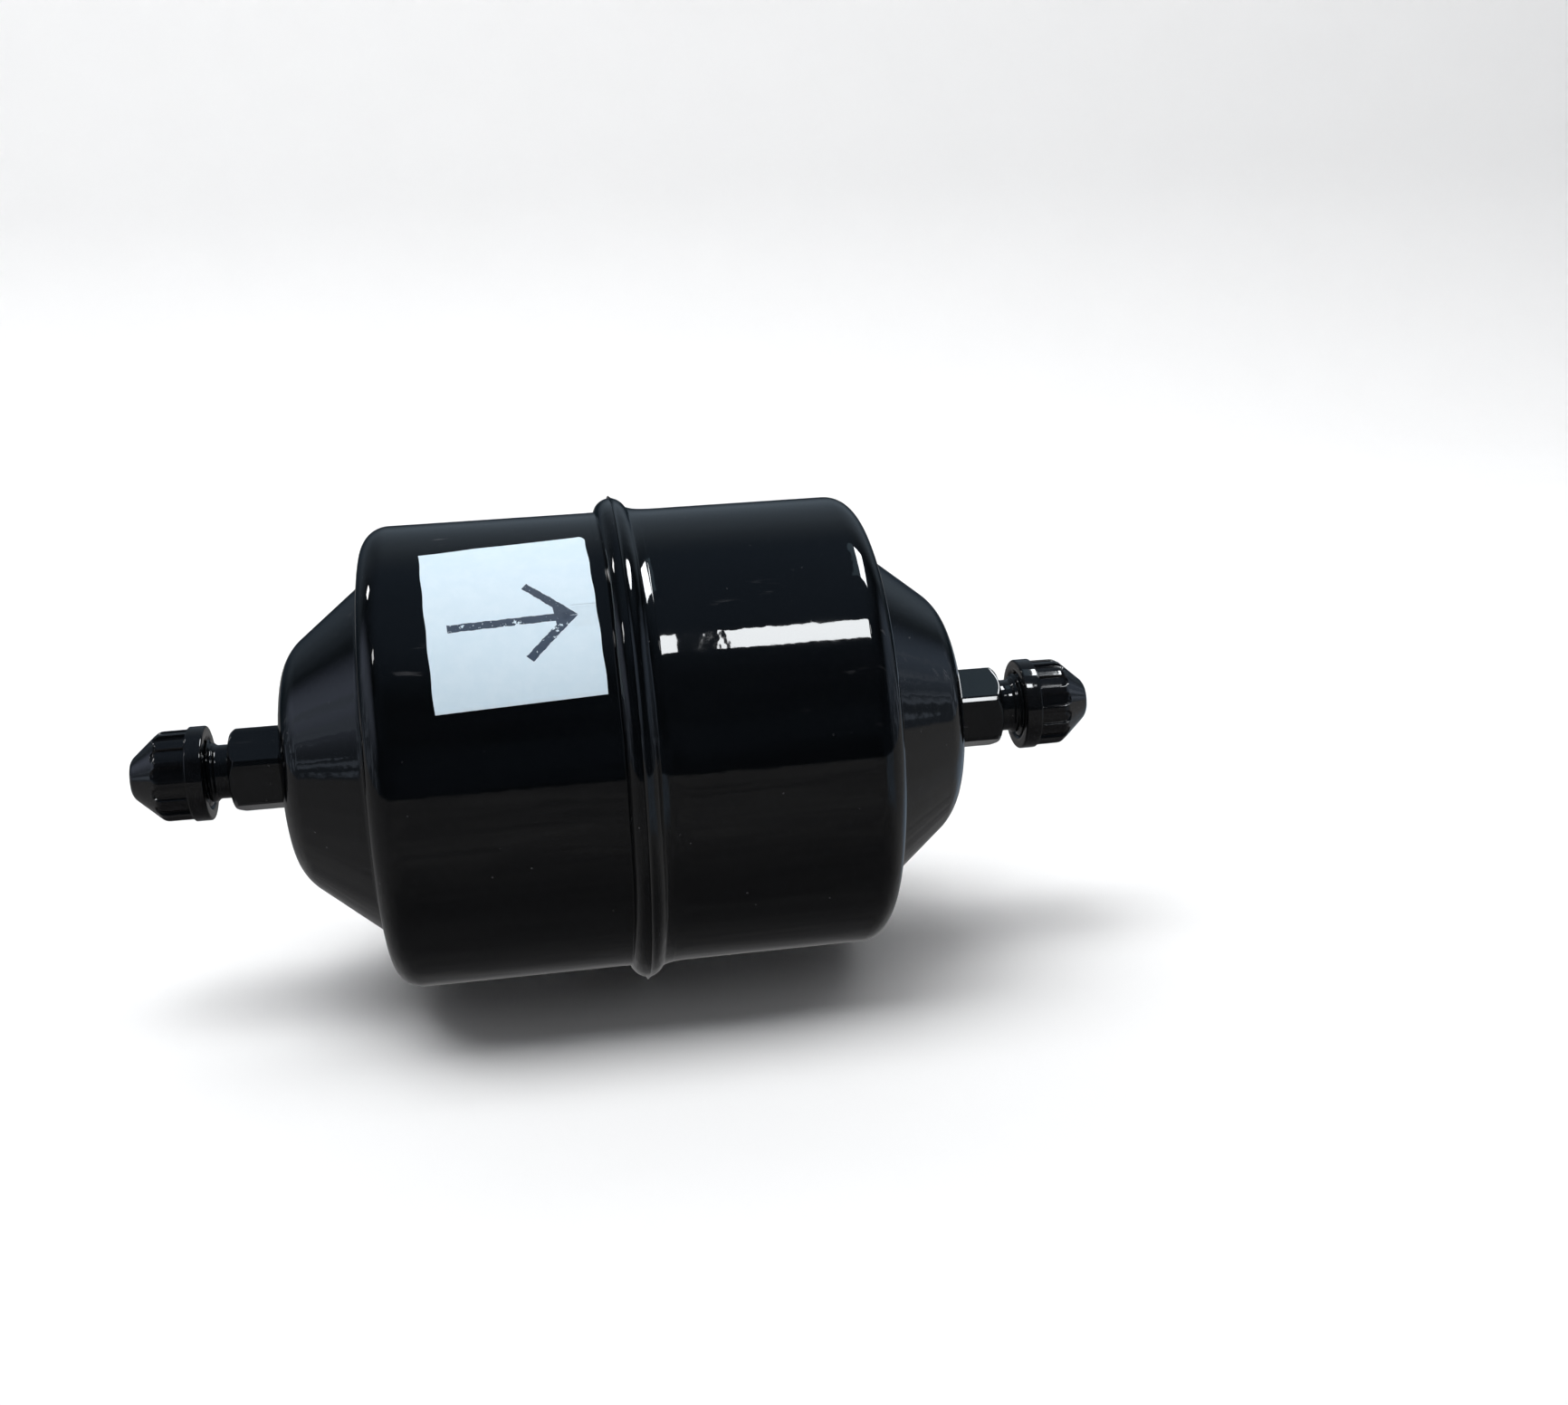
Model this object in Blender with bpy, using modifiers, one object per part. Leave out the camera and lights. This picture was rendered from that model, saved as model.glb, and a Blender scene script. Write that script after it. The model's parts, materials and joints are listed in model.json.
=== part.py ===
"""Hermetic liquid-line filter drier with 1/4 in SAE male flare ends.

The flow runs along +X, from the inlet to the outlet. The origin is on the axis, in the middle of the
seam weld. Each end set is drawn pointing along +X and the inlet's is turned half a turn about Z, so
that both threads stay right-handed. Lengths are in metres.
"""

import math

import bmesh
import bpy
from mathutils import Matrix, Vector

MM = 0.001
GAP = 0.3 * MM  # clearance between pieces that touch on the real object

# Shell: two deep-drawn halves
SHELL_RADIUS = 38.0 * MM
WALL = 1.2 * MM
SHOULDER_RADIUS = 4.6 * MM
SHOULDER_FACE_X = 40.6 * MM
CREASE_CORNER_RADIUS = 29.4 * MM
CREASE_FILLET = 2.7 * MM
SHELL_END_X = 55.0 * MM
NOSE_CORNER_RADIUS = 17.8 * MM
NOSE_ROUNDING = 9.6 * MM
SHELL_SIDES = 40

# Seam: the inlet half has a joggled lip that slides into the outlet half
SEAM_HALF_OPENING = 1.2 * MM
LIP_END_X = 6.0 * MM
BEAD_RADIUS = 2.65 * MM
BEAD_HEIGHT = 2.15 * MM
BEAD_EDGE = 0.1 * MM
BEAD_STEPS = 8
WELD_ROOT_START_X = -0.7 * MM
WELD_ROOT_X = 0.2 * MM
WELD_ROOT_END_X = 0.9 * MM

# Flare fitting, 7/16-20 UNF
SHANK_RADIUS = 5.8 * MM
SHANK_START_X = 52.3 * MM
HEX_START_X = 55.85 * MM
HEX_END_X = 64.2 * MM
HEX_ACROSS_FLATS = 12.7 * MM
HEX_CHAMFER = 1.5 * MM
HEX_BACK_CHAMFER = 0.7 * MM
HEX_CORNER_ANGLE = math.radians(24.3)  # above the -Y side, at both ends
BOSS_RADIUS = 6.1 * MM
BRAZE_RADIUS = 7.9 * MM
BRAZE_HEIGHT = 0.25 * MM
NECK_RADIUS = 4.4 * MM
THREAD_X = 67.0 * MM
THREAD_END_X = 76.0 * MM
THREAD_CORE_RADIUS = 4.8 * MM
THREAD_CREST_RADIUS = 5.5 * MM
THREAD_PITCH = 25.4 * MM / 20
THREAD_TURNS = 6
THREAD_STEPS = 14  # per turn
THREAD_PHASE = math.radians(5.0)
RIDGE_ROOT_HALF = 0.58 * MM
RIDGE_CREST_HALF = 0.17 * MM
FLARE_END_X = 77.6 * MM
FLARE_TIP_RADIUS = 3.1 * MM
BORE_RADIUS = 2.4 * MM
BORE_SIDES = 16

# Screw cap
CAP_MOUTH_X = 67.9 * MM
CAP_COLLAR_RADIUS = 7.75 * MM
CAP_COLLAR_LENGTH = 2.7 * MM
CAP_BODY_RADIUS = 7.35 * MM
CAP_TIP_X = 80.0 * MM
CAP_NOSE = (  # (x, r) from the body to the flat tip, in millimetres
    (75.0, 7.3),
    (75.6, 6.95),
    (79.4, 3.6),
    (79.8, 3.1),
    (80.0, 2.6),
)
CAP_BORE_RADIUS = 5.1 * MM
CAP_GROOVE_RADIUS = 5.75 * MM
CAP_GROOVE_ROOT_HALF = 0.60 * MM
CAP_GROOVE_CREST_HALF = 0.30 * MM
CAP_MOUTH_LEAD = 1.1 * MM
CAP_EDGE = 0.3 * MM
CAP_POCKET_RADIUS = 3.2 * MM
CAP_POCKET_START_X = 77.9 * MM
CAP_POCKET_END_X = 79.0 * MM
CAP_POCKET_EDGE = 0.3 * MM
FLUTE_COUNT = 14
FLUTE_DEPTH = 0.45 * MM
FLUTE_LENGTH = 5.4 * MM
FLUTE_SHARE = 0.68  # of the distance from one flute to the next
FLUTE_ANGLE = math.radians(16.7)  # of one flute above the -Y side, at both ends
CAP_SIDES = 2 * FLUTE_COUNT
SEAL_THICKNESS = 0.8 * MM

# Filter pack, from the inlet end to the outlet end
SPRING_WIRE_RADIUS = 1.1 * MM
SPRING_SMALL_RADIUS = 10.5 * MM
SPRING_LARGE_RADIUS = 24.0 * MM
SPRING_TURNS = 4.5
SPRING_STEPS = 14  # per turn
PRESSURE_PLATE_X = -31.0 * MM
PLATE_THICKNESS = 1.0 * MM
INLET_PACK_RADIUS = 34.6 * MM
INLET_PAD_X = PRESSURE_PLATE_X + PLATE_THICKNESS + GAP
INLET_PAD_THICKNESS = 4.0 * MM
CORE_X = INLET_PAD_X + INLET_PAD_THICKNESS + GAP
CORE_END_X = 31.4 * MM
CORE_RADIUS = 33.4 * MM
CORE_CHAMFER = 2.0 * MM
SIDE_SEAL_X = 21.0 * MM
OUTLET_PACK_RADIUS = 36.3 * MM
OUTLET_PAD_X = CORE_END_X + GAP
OUTLET_PAD_END_X = 36.2 * MM
SCREEN_X = OUTLET_PAD_END_X + GAP
SCREEN_END_X = 37.0 * MM
SCREEN_RADIUS = 35.8 * MM
OUTLET_PLATE_X = SCREEN_END_X + GAP
OUTLET_PLATE_RADIUS = 34.2 * MM
HOLE_RADIUS = 2.6 * MM
HOLE_RING_SPACING = 9.5 * MM
HOLE_RINGS = (1, 6, 12)
DISC_SIDES = 40

# Label
LABEL_WIDTH = 26.0 * MM  # along the axis
LABEL_HEIGHT = 30.0 * MM  # round the shell
LABEL_THICKNESS = 0.12 * MM
LABEL_LIFT = 0.15 * MM
LABEL_CENTRE_X = -17.3 * MM
LABEL_CENTRE_ANGLE = math.radians(47.0)  # above the -Y side
LABEL_SKEW = math.radians(2.9)  # it was stuck on a little crooked

HALF_TURN = Matrix.Rotation(math.pi, 4, "Z")
OUTWARD = 1


def clear_scene():
    for obj in list(bpy.data.objects):
        bpy.data.objects.remove(obj)


def new_collection(name):
    collection = bpy.data.collections.new(name)
    bpy.context.scene.collection.children.link(collection)
    return collection


def material(name, colour, roughness, metallic=0.0):
    made = bpy.data.materials.new(name)
    made.use_nodes = True
    shader = made.node_tree.nodes["Principled BSDF"]
    shader.inputs["Base Color"].default_value = (*colour, 1.0)
    shader.inputs["Roughness"].default_value = roughness
    shader.inputs["Metallic"].default_value = metallic
    return made


clear_scene()
PARTS = new_collection("filter_drier")
CUTTERS = new_collection("cutters")
SHELL_PAINT = material("shell_paint", (0.012, 0.012, 0.013), 0.12)
FITTING_PAINT = material("fitting_paint", (0.014, 0.014, 0.015), 0.18)
CAP_PLASTIC = material("cap_plastic", (0.015, 0.015, 0.016), 0.22)
PAPER = material("label_paper", (0.86, 0.88, 0.90), 0.6)
ZINC_STEEL = material("zinc_steel", (0.60, 0.60, 0.58), 0.35, 1.0)
SPRING_STEEL = material("spring_steel", (0.45, 0.45, 0.44), 0.3, 1.0)
CORE_BLOCK = material("desiccant_block", (0.72, 0.66, 0.55), 0.9)
FIBRE = material("filter_fibre", (0.80, 0.80, 0.76), 0.95)
RUBBER = material("seal_rubber", (0.03, 0.03, 0.03), 0.7)


def object_of(name, mesh, finish=None):
    """A part, or a cutter where no finish is given."""
    obj = bpy.data.objects.new(name, mesh)
    (PARTS if finish else CUTTERS).objects.link(obj)
    if finish:
        mesh.materials.append(finish)
    else:
        obj.hide_render = True
        obj.display_type = "WIRE"
    return obj


def mesh_of(shape, name):
    mesh = bpy.data.meshes.new(name)
    shape.to_mesh(mesh)
    shape.free()
    return mesh


def smoothed(mesh):
    mesh.shade_smooth()
    mesh.set_sharp_from_angle(angle=math.radians(32))


def as_mesh(obj):
    """Puts the evaluated shape of obj in place of its mesh and modifiers."""
    graph = bpy.context.evaluated_depsgraph_get()
    mesh = bpy.data.meshes.new_from_object(obj.evaluated_get(graph))
    obj.modifiers.clear()
    obj.data = mesh
    smoothed(mesh)
    return obj


def arc(centre, radius, start, end, steps):
    """Points (x, r) on an arc, with angles in degrees from the axial direction."""
    points = []
    for k in range(steps + 1):
        angle = math.radians(start + (end - start) * k / steps)
        points.append((centre[0] + radius * math.cos(angle), centre[1] + radius * math.sin(angle)))
    return points


def area(outline):
    pairs = zip(outline, outline[1:] + outline[:1])
    return sum(a[0] * b[1] - b[0] * a[1] for a, b in pairs) / 2


def turned(name, outline, finish=None, sides=24):
    """A shape turned about X from (x, r) points: a closed ring, or a line from axis to axis."""
    if area(outline) < 0:
        outline = outline[::-1]
    from_axis = outline[0][1] == 0 and outline[-1][1] == 0
    count = len(outline)
    edges = [(k, k + 1) for k in range(count - 1)]
    if not from_axis:
        edges.append((count - 1, 0))
    mesh = bpy.data.meshes.new(name)
    mesh.from_pydata([(x, r, 0) for x, r in outline], edges, [])
    obj = object_of(name, mesh, finish)
    screw = obj.modifiers.new("turn", "SCREW")
    screw.axis = "X"
    screw.steps = sides
    screw.render_steps = sides
    screw.use_merge_vertices = True
    screw.merge_threshold = 1e-6
    return as_mesh(obj)


def boolean(obj, operation, other):
    modifier = obj.modifiers.new(operation.lower(), "BOOLEAN")
    modifier.operation = operation
    modifier.object = other


def mirrored(points):
    """The same (x, r) points on the other side of the seam."""
    return [(-x, r) for x, r in points]


def shell_line(offset, detail):
    """One half's skin from the cylinder to the end hole, moved inwards by offset."""
    slope = math.degrees(
        math.atan2(CREASE_CORNER_RADIUS - NOSE_CORNER_RADIUS, SHELL_END_X - SHOULDER_FACE_X)
    )
    turn = math.radians(90 - slope)
    shoulder = (SHOULDER_FACE_X - SHOULDER_RADIUS, SHELL_RADIUS - SHOULDER_RADIUS)
    line = arc(shoulder, SHOULDER_RADIUS - offset, 90, 0, detail)
    setback = CREASE_FILLET * math.tan(turn / 2)
    crease = (SHOULDER_FACE_X + CREASE_FILLET, CREASE_CORNER_RADIUS + setback)
    line += arc(crease, CREASE_FILLET + offset, 180, 270 - slope, max(2, detail // 2))
    setback = NOSE_ROUNDING * math.tan(turn / 2)
    nose = (SHELL_END_X - NOSE_ROUNDING, NOSE_CORNER_RADIUS - setback)
    line += arc(nose, NOSE_ROUNDING - offset, 90 - slope, 0, max(3, detail - 1))
    line.append((SHELL_END_X - offset, SHANK_RADIUS + GAP))
    return line


def outlet_shell():
    rim = [
        (SEAM_HALF_OPENING, SHELL_RADIUS - WALL),
        (SEAM_HALF_OPENING, SHELL_RADIUS),
    ]
    outline = rim + shell_line(0, 4) + shell_line(WALL, 2)[::-1]
    turned("outlet_shell", outline, SHELL_PAINT, SHELL_SIDES)


def inlet_shell():
    lip_radius = SHELL_RADIUS - WALL - GAP
    lip = [
        (-2 * SEAM_HALF_OPENING, SHELL_RADIUS - WALL),
        (-SEAM_HALF_OPENING, lip_radius - WALL),
        (LIP_END_X, lip_radius - WALL),
        (LIP_END_X, lip_radius),
        (-GAP, lip_radius),
        (-SEAM_HALF_OPENING, SHELL_RADIUS),
    ]
    outline = lip + mirrored(shell_line(0, 4)) + mirrored(shell_line(WALL, 2))[::-1]
    turned("inlet_shell", outline, SHELL_PAINT, SHELL_SIDES)


def seam_weld():
    """The weld: a round crown over both shells, and a root between them."""
    centre = SHELL_RADIUS + BEAD_HEIGHT - BEAD_RADIUS
    foot = SHELL_RADIUS + GAP
    bottom = SHELL_RADIUS - WALL
    first = math.asin((foot + BEAD_EDGE - centre) / BEAD_RADIUS)
    crown = []
    for k in range(BEAD_STEPS + 1):
        angle = first + (math.pi - 2 * first) * k / BEAD_STEPS
        crown.append((BEAD_RADIUS * math.cos(angle), centre + BEAD_RADIUS * math.sin(angle)))
    reach = BEAD_RADIUS * math.cos(first)
    root = [
        (-reach, foot),
        (WELD_ROOT_START_X, foot),
        (WELD_ROOT_X, bottom),
        (WELD_ROOT_END_X, bottom),
        (WELD_ROOT_END_X, foot),
        (reach, foot),
    ]
    turned("seam_weld", crown + root, SHELL_PAINT, SHELL_SIDES)


def thread(name, start_x, turns, root_radius, crest_radius, root_half, crest_half):
    """A right-handed thread ridge along +X, as a cutter or as something to join on."""
    shape = bmesh.new()
    section = [
        (start_x - root_half, root_radius),
        (start_x + root_half, root_radius),
        (start_x + crest_half, crest_radius),
        (start_x - crest_half, crest_radius),
    ]
    start = Matrix.Rotation(THREAD_PHASE, 3, "X")
    corners = [shape.verts.new(start @ Vector((x, r, 0))) for x, r in section]
    face = shape.faces.new(corners)
    steps = round(turns * THREAD_STEPS)
    bmesh.ops.spin(
        shape,
        geom=[face, *face.edges, *corners],
        cent=(0, 0, 0),
        axis=(1, 0, 0),
        dvec=(THREAD_PITCH / THREAD_STEPS, 0, 0),
        angle=2 * math.pi * steps / THREAD_STEPS,
        steps=steps,
    )
    bmesh.ops.recalc_face_normals(shape, faces=shape.faces)
    return object_of(name, mesh_of(shape, name))


def own_angle(end, angle):
    """The angle above -Y, in the end set's own position, that ends up at the given one."""
    return math.pi - angle if end == "inlet" else angle


def hexagon(name, corner_angle):
    shape = bmesh.new()
    radius = HEX_ACROSS_FLATS / math.sqrt(3)
    near = []
    far = []
    for k in range(6):
        angle = corner_angle + k * math.pi / 3
        y = -radius * math.cos(angle)
        z = radius * math.sin(angle)
        near.append(shape.verts.new((HEX_START_X, y, z)))
        far.append(shape.verts.new((HEX_END_X, y, z)))
    shape.faces.new(near)
    shape.faces.new(far)
    for k in range(6):
        shape.faces.new((near[k - 1], near[k], far[k], far[k - 1]))
    bmesh.ops.recalc_face_normals(shape, faces=shape.faces)
    return mesh_of(shape, name)


def hexagon_envelope(name):
    """A turned blank that chamfers the hexagon's corners at both ends."""
    corner_radius = HEX_ACROSS_FLATS / math.sqrt(3)
    flat_radius = HEX_ACROSS_FLATS / 2
    outline = [
        (HEX_START_X - GAP, 0),
        (HEX_START_X - GAP, corner_radius - HEX_BACK_CHAMFER),
        (HEX_START_X + HEX_BACK_CHAMFER / 2, corner_radius + GAP),
        (HEX_END_X - HEX_CHAMFER, corner_radius + GAP),
        (HEX_END_X, flat_radius - GAP),
        (HEX_END_X + GAP, flat_radius - 3 * GAP),
        (HEX_END_X + GAP, 0),
    ]
    return turned(name, outline)


def fitting(end, place):
    """Shank, hexagon, neck, thread and 45 degree flare nose, with the bore through them."""
    name = end + "_fitting"
    hexagon_mesh = hexagon(name, own_angle(end, HEX_CORNER_ANGLE))
    obj = object_of(name, hexagon_mesh, FITTING_PAINT)
    spine = [
        (SHANK_START_X, 0),
        (SHANK_START_X, SHANK_RADIUS - GAP),
        (SHANK_START_X + GAP, SHANK_RADIUS),
        (SHELL_END_X + GAP / 2, SHANK_RADIUS),
        (SHELL_END_X + GAP, BOSS_RADIUS),
        (HEX_START_X + 2 * MM, BOSS_RADIUS),
        (HEX_END_X - MM, NECK_RADIUS + GAP),
        (HEX_END_X + GAP, NECK_RADIUS + GAP),
        (HEX_END_X + 2 * GAP, NECK_RADIUS),
        (THREAD_X - 2 * GAP, NECK_RADIUS),
        (THREAD_X, THREAD_CORE_RADIUS),
        (THREAD_END_X, THREAD_CORE_RADIUS),
        (FLARE_END_X, FLARE_TIP_RADIUS),
        (FLARE_END_X, 0),
    ]
    bore = [
        (SHANK_START_X - MM, 0),
        (SHANK_START_X - MM, BORE_RADIUS),
        (FLARE_END_X + MM, BORE_RADIUS),
        (FLARE_END_X + MM, 0),
    ]
    ridge = thread(
        name + "_thread",
        THREAD_X + GAP,
        THREAD_TURNS,
        THREAD_CORE_RADIUS - GAP,
        THREAD_CREST_RADIUS,
        RIDGE_ROOT_HALF,
        RIDGE_CREST_HALF,
    )
    boolean(obj, "INTERSECT", hexagon_envelope(name + "_envelope"))
    boolean(obj, "UNION", turned(name + "_spine", spine))
    boolean(obj, "UNION", ridge)
    boolean(obj, "DIFFERENCE", turned(name + "_bore", bore, sides=BORE_SIDES))
    put(as_mesh(obj), place)


def braze_ring(end, place):
    x = SHELL_END_X + GAP
    inner = BOSS_RADIUS + GAP
    outline = [
        (x, inner),
        (x, BRAZE_RADIUS),
        (x + BRAZE_HEIGHT / 4, BRAZE_RADIUS),
        (x + BRAZE_HEIGHT / 2, (inner + BRAZE_RADIUS) / 2),
        (x + BRAZE_HEIGHT, inner),
    ]
    put(turned(end + "_braze_ring", outline, FITTING_PAINT), place)


def flutes(name, first_angle):
    """Cutters for the finger grooves between the cap's ribs, closed at the collar and open at the nose."""
    shape = bmesh.new()
    pitch = 2 * math.pi / FLUTE_COUNT
    start = CAP_MOUTH_X + CAP_COLLAR_LENGTH + GAP
    width = CAP_BODY_RADIUS * pitch * FLUTE_SHARE
    height = 2 * MM
    lift = CAP_BODY_RADIUS - FLUTE_DEPTH + height / 2
    for k in range(FLUTE_COUNT):
        box = bmesh.ops.create_cube(shape, size=1.0)["verts"]
        size = Matrix.Diagonal((FLUTE_LENGTH, width, height, 1))
        raised = Matrix.Translation((start + FLUTE_LENGTH / 2, 0, lift))
        turn = Matrix.Rotation(math.pi / 2 - first_angle - k * pitch, 4, "X")
        bmesh.ops.transform(shape, matrix=turn @ raised @ size, verts=box)
    return object_of(name, mesh_of(shape, name))


def cap(end, place):
    name = end + "_cap"
    collar_end = CAP_MOUTH_X + CAP_COLLAR_LENGTH
    outline = [
        (CAP_POCKET_END_X, 0),
        (CAP_POCKET_END_X, CAP_POCKET_RADIUS - CAP_POCKET_EDGE),
        (CAP_POCKET_END_X - CAP_POCKET_EDGE, CAP_POCKET_RADIUS),
        (CAP_POCKET_START_X, CAP_POCKET_RADIUS),
        (THREAD_END_X, CAP_BORE_RADIUS),
        (CAP_MOUTH_X + CAP_MOUTH_LEAD, CAP_BORE_RADIUS),
        (CAP_MOUTH_X, CAP_GROOVE_RADIUS + CAP_EDGE),
        (CAP_MOUTH_X, CAP_COLLAR_RADIUS - CAP_EDGE),
        (CAP_MOUTH_X + CAP_EDGE, CAP_COLLAR_RADIUS),
        (collar_end - CAP_EDGE, CAP_COLLAR_RADIUS),
        (collar_end, CAP_BODY_RADIUS),
        *((x * MM, r * MM) for x, r in CAP_NOSE),
        (CAP_TIP_X, 0),
    ]
    obj = turned(name, outline, CAP_PLASTIC, CAP_SIDES)
    groove = thread(
        name + "_groove",
        THREAD_X + GAP - THREAD_PITCH,
        THREAD_TURNS + 1.25,
        CAP_BORE_RADIUS - 2 * GAP,
        CAP_GROOVE_RADIUS,
        CAP_GROOVE_ROOT_HALF,
        CAP_GROOVE_CREST_HALF,
    )
    boolean(obj, "DIFFERENCE", groove)
    boolean(obj, "DIFFERENCE", flutes(name + "_flutes", own_angle(end, FLUTE_ANGLE)))
    put(as_mesh(obj), place)


def cap_seal(end, place):
    x = CAP_POCKET_START_X
    outline = [
        (x, 0),
        (x, CAP_POCKET_RADIUS - GAP),
        (x + SEAL_THICKNESS, CAP_POCKET_RADIUS - GAP),
        (x + SEAL_THICKNESS, 0),
    ]
    put(turned(end + "_cap_seal", outline, RUBBER), place)


def put(obj, place):
    obj.matrix_world = place


def end_set(end, place):
    fitting(end, place)
    braze_ring(end, place)
    cap(end, place)
    cap_seal(end, place)


def disc(name, start_x, end_x, radius, finish, chamfer=0.0):
    rim = [(start_x, radius - chamfer), (end_x, radius - chamfer)]
    if chamfer:
        rim[1:1] = [(start_x + chamfer, radius), (end_x - chamfer, radius)]
    return turned(name, [(start_x, 0), *rim, (end_x, 0)], finish, DISC_SIDES)


def hole_punches(name, x):
    """Round punches on rings about the axis, for a perforated plate at x."""
    shape = bmesh.new()
    for ring, count in enumerate(HOLE_RINGS):
        for k in range(count):
            made = bmesh.ops.create_cone(
                shape,
                cap_ends=True,
                segments=6,
                radius1=HOLE_RADIUS,
                radius2=HOLE_RADIUS,
                depth=4 * PLATE_THICKNESS,
            )["verts"]
            turn = Matrix.Rotation(2 * math.pi * k / count, 4, "X")
            place = turn @ Matrix.Translation((x, 0, ring * HOLE_RING_SPACING))
            to_axis = Matrix.Rotation(math.pi / 2, 4, "Y")
            bmesh.ops.transform(shape, matrix=place @ to_axis, verts=made)
    return object_of(name, mesh_of(shape, name))


def perforated_plate(name, x, radius):
    plate = disc(name, x, x + PLATE_THICKNESS, radius, ZINC_STEEL)
    boolean(plate, "DIFFERENCE", hole_punches(name + "_holes", x + PLATE_THICKNESS / 2))
    as_mesh(plate)


def core_spring():
    """A conical coil between the inlet half's end face and the pressure plate."""
    start_x = -(SHELL_END_X - WALL - GAP - SPRING_WIRE_RADIUS)
    end_x = PRESSURE_PLATE_X - GAP - SPRING_WIRE_RADIUS
    curve = bpy.data.curves.new("core_spring", "CURVE")
    curve.dimensions = "3D"
    curve.bevel_depth = SPRING_WIRE_RADIUS
    curve.bevel_resolution = 1
    curve.use_fill_caps = True
    steps = round(SPRING_TURNS * SPRING_STEPS)
    spline = curve.splines.new("POLY")
    spline.points.add(steps)
    for k in range(steps + 1):
        share = k / steps
        radius = SPRING_SMALL_RADIUS + (SPRING_LARGE_RADIUS - SPRING_SMALL_RADIUS) * share
        angle = 2 * math.pi * k / SPRING_STEPS
        x = start_x + (end_x - start_x) * share
        spline.points[k].co = (x, radius * math.cos(angle), radius * math.sin(angle), 1)
    obj = bpy.data.objects.new("core_spring", curve)
    PARTS.objects.link(obj)
    curve.materials.append(SPRING_STEEL)


def side_seal():
    outline = [
        (SIDE_SEAL_X, CORE_RADIUS + GAP),
        (SIDE_SEAL_X, OUTLET_PACK_RADIUS),
        (CORE_END_X, OUTLET_PACK_RADIUS),
        (CORE_END_X, CORE_RADIUS + GAP),
    ]
    turned("core_side_seal", outline, FIBRE, DISC_SIDES)


def filter_pack():
    core_spring()
    perforated_plate("pressure_plate", PRESSURE_PLATE_X, INLET_PACK_RADIUS)
    disc("inlet_pad", INLET_PAD_X, INLET_PAD_X + INLET_PAD_THICKNESS, INLET_PACK_RADIUS, FIBRE)
    disc("desiccant_core", CORE_X, CORE_END_X, CORE_RADIUS, CORE_BLOCK, CORE_CHAMFER)
    side_seal()
    disc("outlet_pad", OUTLET_PAD_X, OUTLET_PAD_END_X, OUTLET_PACK_RADIUS, FIBRE)
    disc("outlet_screen", SCREEN_X, SCREEN_END_X, SCREEN_RADIUS, ZINC_STEEL)
    perforated_plate("outlet_plate", OUTLET_PLATE_X, OUTLET_PLATE_RADIUS)


def flow_label():
    """A rectangle bent round the shell, then given its paper thickness outwards."""
    shape = bmesh.new()
    bmesh.ops.create_grid(shape, x_segments=2, y_segments=12, size=0.5)
    radius = SHELL_RADIUS + LABEL_LIFT
    for vert in shape.verts:
        flat = Vector((vert.co.x * LABEL_WIDTH, vert.co.y * LABEL_HEIGHT))
        flat = Matrix.Rotation(LABEL_SKEW, 2) @ flat
        angle = LABEL_CENTRE_ANGLE + flat.y / SHELL_RADIUS
        vert.co = (LABEL_CENTRE_X + flat.x, -radius * math.cos(angle), radius * math.sin(angle))
    obj = object_of("flow_label", mesh_of(shape, "flow_label"), PAPER)
    paper = obj.modifiers.new("paper", "SOLIDIFY")
    paper.thickness = LABEL_THICKNESS
    paper.offset = OUTWARD
    smoothed(obj.data)


inlet_shell()
outlet_shell()
seam_weld()
end_set("inlet", HALF_TURN)
end_set("outlet", Matrix.Identity(4))
filter_pack()
flow_label()
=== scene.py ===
import json
import math

import bmesh
import bpy
import numpy as np
from mathutils import Matrix, Vector

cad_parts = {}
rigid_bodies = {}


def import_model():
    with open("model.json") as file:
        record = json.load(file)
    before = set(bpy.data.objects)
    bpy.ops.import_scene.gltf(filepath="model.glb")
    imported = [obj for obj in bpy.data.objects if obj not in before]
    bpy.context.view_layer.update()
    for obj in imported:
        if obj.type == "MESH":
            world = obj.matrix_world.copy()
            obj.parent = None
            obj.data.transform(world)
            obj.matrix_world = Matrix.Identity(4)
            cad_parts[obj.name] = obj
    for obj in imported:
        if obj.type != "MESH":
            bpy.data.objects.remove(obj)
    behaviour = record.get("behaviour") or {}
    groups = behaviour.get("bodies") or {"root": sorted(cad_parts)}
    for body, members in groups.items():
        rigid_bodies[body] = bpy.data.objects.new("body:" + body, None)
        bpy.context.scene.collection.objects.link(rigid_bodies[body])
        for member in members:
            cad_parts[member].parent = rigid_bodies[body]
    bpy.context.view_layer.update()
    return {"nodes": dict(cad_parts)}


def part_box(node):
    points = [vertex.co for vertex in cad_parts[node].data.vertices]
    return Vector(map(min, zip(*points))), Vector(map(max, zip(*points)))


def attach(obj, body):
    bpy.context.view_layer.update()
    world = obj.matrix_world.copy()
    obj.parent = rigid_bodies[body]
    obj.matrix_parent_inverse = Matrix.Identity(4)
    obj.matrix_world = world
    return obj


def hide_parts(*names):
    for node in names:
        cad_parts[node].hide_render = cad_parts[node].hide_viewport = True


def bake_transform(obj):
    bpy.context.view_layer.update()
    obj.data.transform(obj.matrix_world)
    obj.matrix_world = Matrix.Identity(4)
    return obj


# The visible model of a welded liquid-line filter drier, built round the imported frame.
#
# The flow runs along +X. Angles round the axis are measured above the -Y side, so a surface point
# is at (x, -r cos a, r sin a). Lengths are in millimetres up to the stage, which is in metres. Each
# end set is drawn pointing along +X, and the inlet's is turned half a turn about Z, which keeps
# both threads right-handed.

for obj in list(bpy.data.objects):
    bpy.data.objects.remove(obj)
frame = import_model()

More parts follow.
